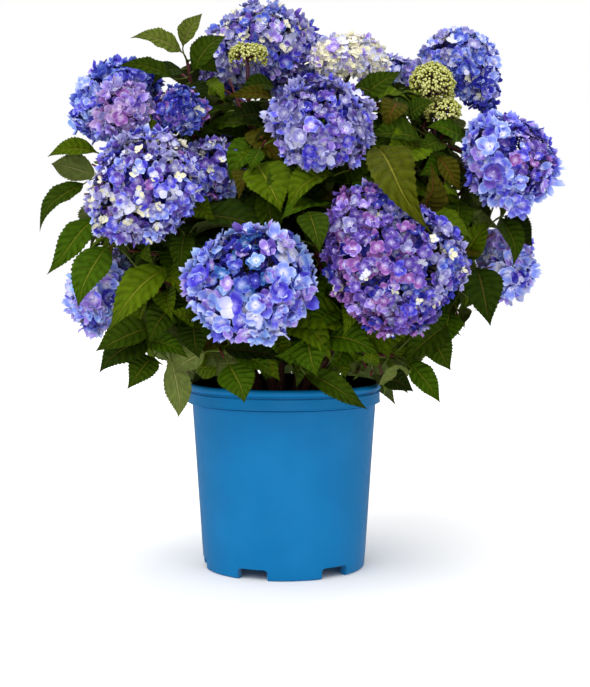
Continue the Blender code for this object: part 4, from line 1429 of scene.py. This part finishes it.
sepal = {
    "fine": (4, 4),  # columns and rows of a large floret's sepal, a small one's, and one's deep inside
    "small": (3, 3),
    "deep": (2, 2),
    "fineFrom": 0.0185,  # the width of floret that gets the fine one
    "widths": (0.10, 0.40, 0.54, 0.46),  # half widths by length, and then the tip's
    "widthsAt": (0.0, 0.26, 0.56, 0.82, 1.0),
    "bluntTip": 0.27,
    "sharpTip": 0.07,
    "eye": 0.0013,
    "footOut": 0.0006,
    "overlap": 0.0004,
    "cupped": (0.3, 1.9),
    "bent": (0.4, 1.6),
    "ruffle": (0.03, 0.13),
    "skew": 0.12,
    "length": (0.84, 1.12),
    "breadth": (0.92, 1.08),
    "swing": 0.16,
    "rounded": (0.03, 0.07),  # how far its foot, and its tip more, draw in at the sides
    "sideCup": 0.30,
    "waves": (2.6, 2),
    "eyeSize": (0.6, 0.05),  # the eye's least size, and the floret's width that adds a whole one
    "eyeRise": 0.7,
    "strayTone": 0.22,  # the share of sepals that take another tone than their floret's
}
petalTones = tinted({
    # near the eye, the body of the sepal, and its rim, lighter in the blue tones partly as a painted
    # highlight
    "sky": ((246, 240, 252), (126, 144, 232), (200, 212, 250)),
    "aqua": ((232, 234, 250), (120, 152, 226), (176, 202, 244)),
    "teal": ((158, 184, 228), (36, 84, 160), (86, 136, 204)),
    "periwinkle": ((226, 220, 250), (96, 90, 218), (164, 176, 242)),
    "lilac": ((236, 222, 248), (146, 116, 212), (190, 180, 236)),
    "iris": ((176, 168, 240), (58, 44, 184), (110, 114, 222)),
    "violet": ((180, 162, 222), (82, 54, 156), (130, 108, 196)),
    "orchid": ((206, 174, 220), (128, 72, 156), (172, 128, 192)),
    "blue": ((184, 198, 240), (60, 74, 184), (124, 146, 220)),
    # deepBlue is a tone of some heads, and with iris the dark fill deep inside heads: painted shade between
    # florets
    "deepBlue": ((90, 94, 206), (28, 24, 136), (54, 60, 172)),
    "mist": ((220, 218, 232), (122, 116, 182), (170, 170, 212)),
    "pale": ((252, 248, 242), (206, 206, 234), (176, 184, 238)),
    "ivory": ((248, 244, 216), (226, 222, 186), (206, 202, 200)),
    "cream": ((255, 252, 206), (252, 248, 206), (232, 224, 236)),
    "mauve": ((230, 208, 224), (152, 122, 184), (194, 170, 212)),
})
eyeCell = len(petalTones)

# Florets' width, how far they stand apart by width, how pointed and how cupped they are, the
# share of young cream ones, how open the middle is, how far they are set in and how unevenly, in
# metres, and the tones by weight. Then the tones in the open middle, other tones for one side of
# the head and the way to that side, and the tones of the florets deep inside, which unless given
# are dark blues that paint the shade between the florets.
Look = namedtuple(
    "Look", "floret pitch point cup young open inset uneven tones middle other side deep",
    defaults=((), None, None, ("deepBlue", "iris")),
)
looks = {
    "bright": Look(
        0.0258, 0.58, 0.45, 0.32, 0.0, 0.5, 0.0100, 0.005,
        {"sky": 7, "aqua": 3, "periwinkle": 4, "lilac": 5, "iris": 2, "violet": 1, "pale": 2},
        middle=("blue", "teal", "violet", "lilac", "aqua", "deepBlue"),
    ),
    "pastel": Look(
        0.0235, 0.58, 0.45, 0.32, 0.02, 0.0, 0.0085, 0.005,
        {"sky": 5, "lilac": 5, "periwinkle": 2, "aqua": 1, "pale": 3, "iris": 1},
    ),
    "vivid": Look(
        0.0240, 0.58, 0.55, 0.34, 0.0, 0.45, 0.0085, 0.006,
        {"sky": 7, "periwinkle": 6, "iris": 2, "lilac": 4, "violet": 1},
        middle=("violet", "iris", "lilac", "orchid", "lilac"),
    ),
    "creamy": Look(
        0.0176, 0.60, 0.4, 0.38, 0.20, 0.0, 0.0080, 0.006,
        {"mist": 4, "violet": 4, "periwinkle": 4, "sky": 2, "pale": 2, "iris": 2, "orchid": 1},
    ),
    "orchid": Look(
        0.0166, 0.62, 0.2, 0.36, 0.05, 0.0, 0.0085, 0.007,
        {"orchid": 5, "violet": 7, "lilac": 1, "mist": 2, "deepBlue": 1},
        other={"mist": 3, "blue": 2, "iris": 3, "violet": 3, "deepBlue": 1}, side=(1, 0, 0.3),
    ),
    "mixed": Look(
        0.0175, 0.58, 0.3, 0.34, 0.13, 0.0, 0.0075, 0.005,
        {"mist": 5, "blue": 2, "iris": 2, "violet": 1, "lilac": 1, "pale": 2, "ivory": 1},
    ),
    "dusty": Look(
        0.0180, 0.60, 0.3, 0.36, 0.02, 0.25, 0.0085, 0.006,
        {"mist": 7, "violet": 2, "periwinkle": 2, "lilac": 1, "iris": 1, "pale": 1},
        middle=("violet", "deepBlue", "mist", "iris"),
    ),
    "rosy": Look(
        0.0180, 0.60, 0.3, 0.32, 0.05, 0.0, 0.0075, 0.006,
        {"orchid": 2, "violet": 2, "iris": 3, "blue": 4, "deepBlue": 2, "mist": 2},
    ),
    "mauve": Look(
        0.0195, 0.58, 0.3, 0.34, 0.0, 0.0, 0.0080, 0.006,
        {"mauve": 8, "lilac": 4, "mist": 2, "violet": 1, "orchid": 1},
    ),
    "azure": Look(
        0.0210, 0.58, 0.5, 0.32, 0.0, 0.0, 0.0080, 0.005,
        {"periwinkle": 6, "sky": 6, "aqua": 2, "iris": 2, "lilac": 3, "blue": 2},
        other={"deepBlue": 3, "blue": 4, "iris": 3, "periwinkle": 2}, side=(0.5, 0.2, 0.9),
    ),
    "blue": Look(
        0.0210, 0.60, 0.5, 0.32, 0.05, 0.0, 0.0080, 0.005,
        {"periwinkle": 2, "mist": 3, "sky": 5, "aqua": 2, "lilac": 3, "pale": 4},
    ),
    # its lower side takes dark blue tones: painted shade under the head
    "deepBlue": Look(
        0.0165, 0.58, 0.2, 0.30, 0.09, 0.0, 0.0075, 0.005,
        {"blue": 4, "periwinkle": 3, "mist": 4, "sky": 4, "pale": 2},
        other={"deepBlue": 4, "blue": 2, "iris": 1}, side=(0.2, 0, -1),
    ),
    "cream": Look(
        0.0142, 0.56, 0.2, 0.34, 0.0, 0.0, 0.0100, 0.003,
        {"cream": 11, "pale": 3, "ivory": 2, "lilac": 2},
        deep=("ivory", "cream", "ivory"),
    ),
}
bloomSlots = {
    "petals_blue": (
        "front", "left_low", "upper_left", "top", "top_back", "right_low",
        "back_left", "back_low", "back_right",
    ),
    "petals_violet": (
        "left", "upper_left_inner", "left_inner", "right", "front_right",
        "back_right_low", "back_left_low", "back", "back_top",
    ),
    "petals_lilac": ("upper_left_dusky", "centre", "back_left_high"),
    "petals_deep_blue": ("right_high",),
    "petals_cream": ("top_pale",),
}


def sepalStamp(columns, rows):
    bm = bmesh.new()
    bmesh.ops.create_grid(bm, x_segments=columns, y_segments=rows, size=0.5)
    mapOver(bm)
    if bm.faces[:][0].normal.z < 0:
        bmesh.ops.reverse_faces(bm, faces=bm.faces)
    return stampOf(bm)


# A sepal of length 1 from its foot at the origin, along +Y: its outline and its relief.
def sepalPoints(stamp, tip, cup, ruffle, phase, skew):
    side = stamp.points[:, 0] * 2
    along = stamp.points[:, 1] + 0.5
    widths = np.interp(along, sepal["widthsAt"], [*sepal["widths"], tip])
    x = side * widths + skew * along * along
    (foot, more), (across, down) = sepal["rounded"], sepal["waves"]
    y = along - (foot + more * along**4) * side**2
    ruffles = ruffle * np.sin(phase + across * side + down * along) * along
    z = cup * along**2 + sepal["sideCup"] * cup * side**2 * along + ruffles
    return np.stack([x, y, z], axis=1)


# Four sepals in two crossed pairs round an eye, facing along the way given.
def floret(stamp, eye, place, way, spin, size, look, tone, stray, rng):
    turn = np.array(up.rotation_difference(way).to_matrix() @ Matrix.Rotation(spin, 3, "Z"))
    middle = np.array(place)
    cup = look.cup * rng.uniform(*sepal["cupped"])
    made = []
    for index in range(4):
        sharp = min(1.0, look.point * rng.uniform(0.6, 1.2))
        tip = sepal["bluntTip"] + (sepal["sharpTip"] - sepal["bluntTip"]) * sharp
        shape = (cup * rng.uniform(*sepal["bent"]), rng.uniform(*sepal["ruffle"]), rng.uniform(0, 6))
        points = sepalPoints(stamp, tip, *shape, rng.uniform(-sepal["skew"], sepal["skew"]))
        length = size / 2 * rng.uniform(*sepal["length"])
        points = points * [length * rng.uniform(*sepal["breadth"]), length, length]
        points[:, 1] += sepal["footOut"]
        points[:, 2] += sepal["overlap"] if index % 2 else 0
        angle = index * math.pi / 2 + rng.uniform(-sepal["swing"], sepal["swing"])
        c, s = math.cos(angle), math.sin(angle)
        points = points @ np.array([[c, s, 0], [-s, c, 0], [0, 0, 1]])
        own = stray if rng.random() < sepal["strayTone"] else tone
        made.append(toned(stamp, points @ turn.T + middle, own, petalCells))
    if eye:
        least, whole = sepal["eyeSize"]
        bead = sepal["eye"] * (least + size / whole)
        points = (eye.points * bead + [0, 0, bead * sepal["eyeRise"]]) @ turn.T + middle
        made.append(toned(eye, points, eyeCell, petalCells))
    return made


def pickTone(look, offset, rng):
    tones = look.tones
    if look.other:
        share = Vector(look.side).normalized().dot(offset.normalized())
        if share + rng.uniform(-heads["sideBlur"], heads["sideBlur"]) > heads["sideFrom"]:
            tones = look.other
    return rng.choices(list(tones), weights=list(tones.values()))[0]


# One of so many directions spread evenly from the pole down to a height of 1 - drop.
def spread(index, count, drop, turn=0):
    z = 1 - (index + 0.5) / count * drop
    angle = index * math.pi * (3 - math.sqrt(5)) + turn
    flat = math.sqrt(max(0.0, 1 - z * z))
    return Vector((flat * math.cos(angle), flat * math.sin(angle), z))


def jittered(way, most, rng):
    return (way + Vector([rng.uniform(-most, most) for _ in range(3)])).normalized()


# A limb of a head's own axes, as it stands in the crown.
def carried(path, centre, turn):
    return Limb([centre + turn @ point for point in path.points], path.radii)


# The branches inside a head, from where its stalk ends.
def headRays(head, above):
    rays = []
    for spread, height, count, turn in heads["rays"]:
        for index in range(count):
            angle = turn + math.tau * index / count
            reach = head.radius * spread
            rays.append(Vector((math.cos(angle) * reach, math.sin(angle) * reach, above * height)))
    return rays


# The florets of one head, over its dome and its lobes, with the branches that carry them.
def headFlorets(title, head, stamps, eye, seed):
    look = looks[head.look]
    rng = random.Random(seed)
    above, below = headDepths(head)
    turn = headTurn(head)
    centre, socket = Vector(head.place), Vector((0, 0, -below))
    names = list(petalTones)
    rays = headRays(head, above)
    made, stalks = [], []
    for ray in rays:
        path = limb(socket, up, ray, (ray - socket).normalized(), heads["rayRadii"], 3)
        stalks.append((carried(path, centre, turn), 0))
    domes = [(Vector(), 1.0), *[(Vector(shift), share) for shift, share in heads["lobes"].get(title, ())]]
    for deep, number in ((False, 0), (True, 0), *[(False, n) for n in range(1, len(domes))]):
        shift, share = domes[number]
        reach = head.radius * share
        area = 4 * math.pi * reach**2 * heads["area"]
        count = int(area / (look.floret * look.pitch) ** 2 * (heads["deepShare"] if deep else 1))
        for index in range(count):
            way = jittered(spread(index, count, heads["cover"], seed), heads["scatter"], rng)
            size = look.floret * rng.uniform(*heads["size"])
            inset = look.inset + rng.uniform(-0.7, 1.0) * look.uneven
            inMiddle = look.open and not number and way.z > 1 - look.open * heads["openTop"]
            if inMiddle:
                size *= rng.uniform(*heads["openSize"])
                inset += heads["openDepth"] * rng.uniform(*heads["openInset"])
            young = rng.random() < look.young * heads["youngShares"][way.z > heads["youngFrom"]]
            if young:
                size = heads["youngFloret"] * rng.uniform(*heads["youngSize"])
                inset -= heads["youngOut"]
            tall = (above if way.z > 0 else below) * share
            pinch = 1 - heads["pinch"].get(title, 0) * max(0.0, -way.y) ** heads["pinchPower"]
            lump = way * heads["lumpScale"] + Vector((seed, number, 0)) * heads["lumpStep"]
            swell = 1 + heads["lumps"] * noise.noise(lump)
            spot = Vector((way.x * reach * pinch, way.y * reach, way.z * tall)) * swell
            spot *= heads["deepAt"] if deep else 1
            normal = Vector((way.x / reach, way.y / reach, way.z / tall)).normalized()
            spot += shift * head.radius - normal * inset
            others = [dome for dome in domes if dome is not domes[number]]
            if any(insideDome(spot, dome, head, above, below) for dome in others):
                continue
            lean = jittered(normal, heads["lean"], rng)
            youngTones = ("ivory", "pale") if rng.random() < heads["creamShare"] else ("pale", "ivory")
            tone = youngTones[0] if young else pickTone(look, turn @ way, rng)
            stray = youngTones[1] if young else pickTone(look, turn @ way, rng)
            if inMiddle and not young:
                tone = rng.choice(look.middle)
            # florets deep inside take dark tones: painted shade between the florets
            if deep:
                tone = stray = rng.choice(look.deep)
            stamp = stamps["deep" if deep else "fine" if size > sepal["fineFrom"] else "small"]
            made += floret(
                stamp, None if deep else eye, centre + turn @ spot, (turn @ lean).normalized(),
                rng.uniform(0, math.tau), size, look, names.index(tone), names.index(stray), rng,
            )
            ray = min(rays, key=lambda r: (r - spot).length)
            path = limb(ray, (ray - socket).normalized(), spot, lean, heads["stalkRadii"], 1 if deep else 2)
            stalks.append((carried(path, centre, turn), 1))
    start, way = stalkEnd(head)
    end = start + way * growth["peduncle"] * heads["stalkReach"]
    stalks.append((Limb([start, end], [growth["shootTipRadius"]] * 2), 0))
    return made, stalks


def insideDome(spot, dome, head, above, below):
    shift, share = dome
    offset = spot - shift * head.radius
    tall = above if offset.z > 0 else below
    inner = Vector((offset.x / head.radius, offset.y / head.radius, offset.z / tall)) / share
    return inner.length < heads["inside"]


# A sepal pales towards its eye, has fine veins along it and a rim of its own tone, lighter in the
# blue tones partly as a painted highlight, and is velvety.
def petalFinish(name, heart, body, rim):
    made = Finish(f"petal_{name}", body, 0.55, 0.30)
    place, u, v = made.cell(petalCells)
    veins = made.noise(made.stretched(place, (1.0, 0.16, 1.0)), 26, 2, 0.6)
    side = made.aside(u)
    fromEye = made.maths("ADD", v, made.maths("MULTIPLY", side, 0.40))
    blushed = made.mixed(made.ramp(fromEye, 0.04, 0.62, 1.0, 0.0), body, heart)
    streaked = made.mixed(made.ramp(veins, 0.50, 0.72, 0.0, 0.5), blushed, dimmed(body, 0.66))
    # the rim: its own tone, lighter in the blue tones partly as a painted highlight
    tipward = made.ramp(v, 0.62, 1.0)
    edge = made.maths("MAXIMUM", tipward, made.ramp(side, 0.34, 0.5, 0.0, 0.85))
    made.paint(made.mixed(edge, streaked, rim))
    made.roughen(veins, 0.48, 0.66)
    made.bump(veins, 0.35, 0.0006)
    return made.material


def eyeFinish():
    made = Finish("floretEye", heads["eye"], 0.45, 0.4)
    made.roughen(made.noise(made.cell(petalCells)[0], 12, 2), 0.4, 0.55)
    return made.material


heads = {
    "eye": tint(190, 196, 228),
    "ray": tint(84, 74, 60),
    "pedicel": tint(92, 88, 130),
    "rays": ((0.0, 0.5, 1, 0.0), (0.34, 0.34, 6, 0.0), (0.46, 0.02, 8, 0.4)),  # spread, height, count, turn
    "cover": 1.72,  # how far down from its top a dome has florets, by its half height
    "area": 0.82,  # of a whole ball's
    "sideFrom": 0.25,  # where the tones of a head's other side begin, and how far they mingle
    "sideBlur": 0.35,
    "youngShares": (0.6, 1.6),  # of a look's share, low down and at the top
    "youngFrom": 0.3,
    "openTop": 0.5,
    "stalkReach": 1.04,
    "scatter": 0.13,
    "lean": 0.42,
    "size": (0.76, 1.14),
    "openSize": (0.52, 0.85),
    "openInset": (0.3, 1.3),
    "youngSize": (0.8, 1.3),
    "rayRadii": (0.0013, 0.0009),
    "stalkRadii": (0.0007, 0.0005),
    "lumps": 0.13,
    "lumpScale": 1.8,
    "lumpStep": 3.7,  # how far apart two domes are in the pattern of lumps
    "pinchPower": 1.5,
    "inside": 0.80,  # a floret that lies this far inside another dome is left out
    "deepAt": 0.80,
    "deepShare": 0.55,
    "openDepth": 0.006,
    "youngFloret": 0.0100,
    "youngOut": 0.001,
    "creamShare": 0.65,
    "pinch": {"front_right": 0.36, "left": 0.10},  # how much narrower a head is at its lower side
    # smaller domes beside some heads: the shift by radius along the head's own axes, and the size
    "lobes": {
        "right_high": [((0.54, -0.30, -0.29), 0.60)],
        "top": [((-0.52, -0.25, -0.20), 0.50), ((0.48, -0.30, 0.05), 0.52)],
        "front_right": [((-0.42, 0.42, 0.18), 0.62), ((0.44, 0.10, 0.10), 0.60)],
        "left": [((0.10, 0.50, 0.10), 0.60), ((-0.42, -0.30, 0.08), 0.58)],
        "upper_left": [((0.38, -0.30, 0.10), 0.58)],
        "right": [((0.20, 0.45, 0.05), 0.60)],
        "back": [((0.40, 0.25, 0.12), 0.60)],
        "back_left": [((-0.35, 0.35, 0.10), 0.60)],
        "back_right": [((0.35, -0.35, 0.12), 0.58)],
    },
    "seed": 60,
}


def makeBlooms():
    stamps = {name: sepalStamp(*sepal[name]) for name in ("fine", "small", "deep")}
    bm = bmesh.new()
    bmesh.ops.create_uvsphere(bm, u_segments=4, v_segments=3, radius=1)
    mapOver(bm, 2)
    eye = stampOf(bm)
    finishes = [petalFinish(name, *tones) for name, tones in petalTones.items()] + [eyeFinish()]
    stalkFinishes = [stalkFinish("ray", heads["ray"]), stalkFinish("pedicel", heads["pedicel"])]
    slotOf = {title: slot for slot, titles in bloomSlots.items() for title in titles}
    triangles, stalks = 0, []
    for number, (title, head) in enumerate(allHeads().items()):
        if head.look == "buds":
            continue
        made, branches = headFlorets(title, head, stamps, eye, heads["seed"] + number)
        stalks += branches
        piece = addPiece(f"florets_{title}", joined(f"florets_{title}", made), finishes)
        settle(piece, slotOf[title], f"bloom_{title}")
        triangles += triangleCount(piece)
    settle(addPiece("bloom_stalks", tubes("bloom_stalks", stalks, stalkFinishes, 0)), "foliage")
    print("blooms:", len(slotOf), "heads,", triangles, "triangles of petals")


# Clusters of green buds on branching stalks.

buds = {
    "bud": 0.0017,
    "perCyme": 22,
    "spread": 0.0085,
    "twigLength": 0.008,
    "cover": 1.15,
    "uneven": (0.86, 1.0),
    "scatter": 0.5,
    "flatten": 0.8,  # how far a cyme is pressed flat, and how far its rim hangs back
    "dish": 0.35,
    "splay": 60,
    "size": (0.7, 1.2),
    "green": tint(148, 152, 52),
    "pale": tint(206, 204, 134),
    "stalk": tint(84, 44, 56),
    "ray": (0.0010, 0.0007),
    "twig": (0.0005, 0.0004),
    # domes of each cluster: the shift along the cluster's own axes, its radius and height in
    # metres, and its count of cymes
    "domes": {
        "top_buds": [((0.0, 0.0, 0.000), 0.023, 0.013, 20)],
        "right_buds": [
            ((-0.010, 0.0, 0.008), 0.027, 0.026, 30),
            ((0.006, -0.010, -0.020), 0.022, 0.018, 18),
            ((0.000, 0.012, -0.006), 0.020, 0.016, 10),
        ],
    },
    "seed": 90,
}


def makeBuds():
    bm = bmesh.new()
    bmesh.ops.create_uvsphere(bm, u_segments=6, v_segments=4, radius=1)
    for face in bm.faces:
        face.material_index = int(face.calc_center_median().z > 0.4)
    bud = stampOf(bm)
    finishes = [stalkFinish("budGreen", buds["green"], 0.45), stalkFinish("budTip", buds["pale"], 0.4)]
    rayFinishes = [stalkFinish("budStalk", buds["stalk"])]
    rng = random.Random(buds["seed"])
    for title, head in allHeads().items():
        if head.look != "buds":
            continue
        turn = headTurn(head)
        centre, socket = Vector(head.place), Vector((0, 0, -headDepths(head)[1]))
        copies, stalks = [], []
        for shift, radius, height, count in buds["domes"][title]:
            for index in range(count):
                way = spread(index, count, buds["cover"])
                spot = Vector((way.x * radius, way.y * radius, way.z * height))
                spot = Vector(shift) + spot * rng.uniform(*buds["uneven"])
                root = spot - way * buds["twigLength"]
                stalks.append((carried(limb(socket, up, root, way, buds["ray"], 4), centre, turn), 0))
                for _ in range(buds["perCyme"]):
                    swing = Vector([rng.gauss(0, buds["scatter"]) for _ in range(3)]) * buds["spread"]
                    swing -= way * swing.dot(way) * buds["flatten"]
                    place = spot + swing - way * swing.length * buds["dish"]
                    size = buds["bud"] * rng.uniform(*buds["size"])
                    tilt = up.rotation_difference((way + swing * buds["splay"]).normalized()).to_matrix()
                    points = bud.points @ (np.array(turn @ tilt) * size).T + np.array(centre + turn @ place)
                    copies.append(bud._replace(points=points))
                    stalks.append((carried(limb(root, way, place, way, buds["twig"], 1), centre, turn), 0))
        stalk = [stalkEnd(head)[0], centre + turn @ socket]
        stalks.append((Limb(stalk, [growth["shootTipRadius"]] * 2), 0))
        piece = addPiece(f"{title}_cluster", joined(f"{title}_cluster", copies), finishes)
        settle(piece, "flower_buds", title)
        piece = addPiece(f"{title}_stalks", tubes(f"{title}_stalks", stalks, rayFinishes, 0))
        settle(piece, "flower_buds")
        print("buds:", title, len(copies))


setCamera()
setLights()
setRoom()
print("studio set")
makePot()
makeSoil()
print("pot and potting mix made")
crown, fineTwigs = growCrown()
makeLeaves(crown)
makeWood(crown, fineTwigs)
makeBlooms()
makeBuds()
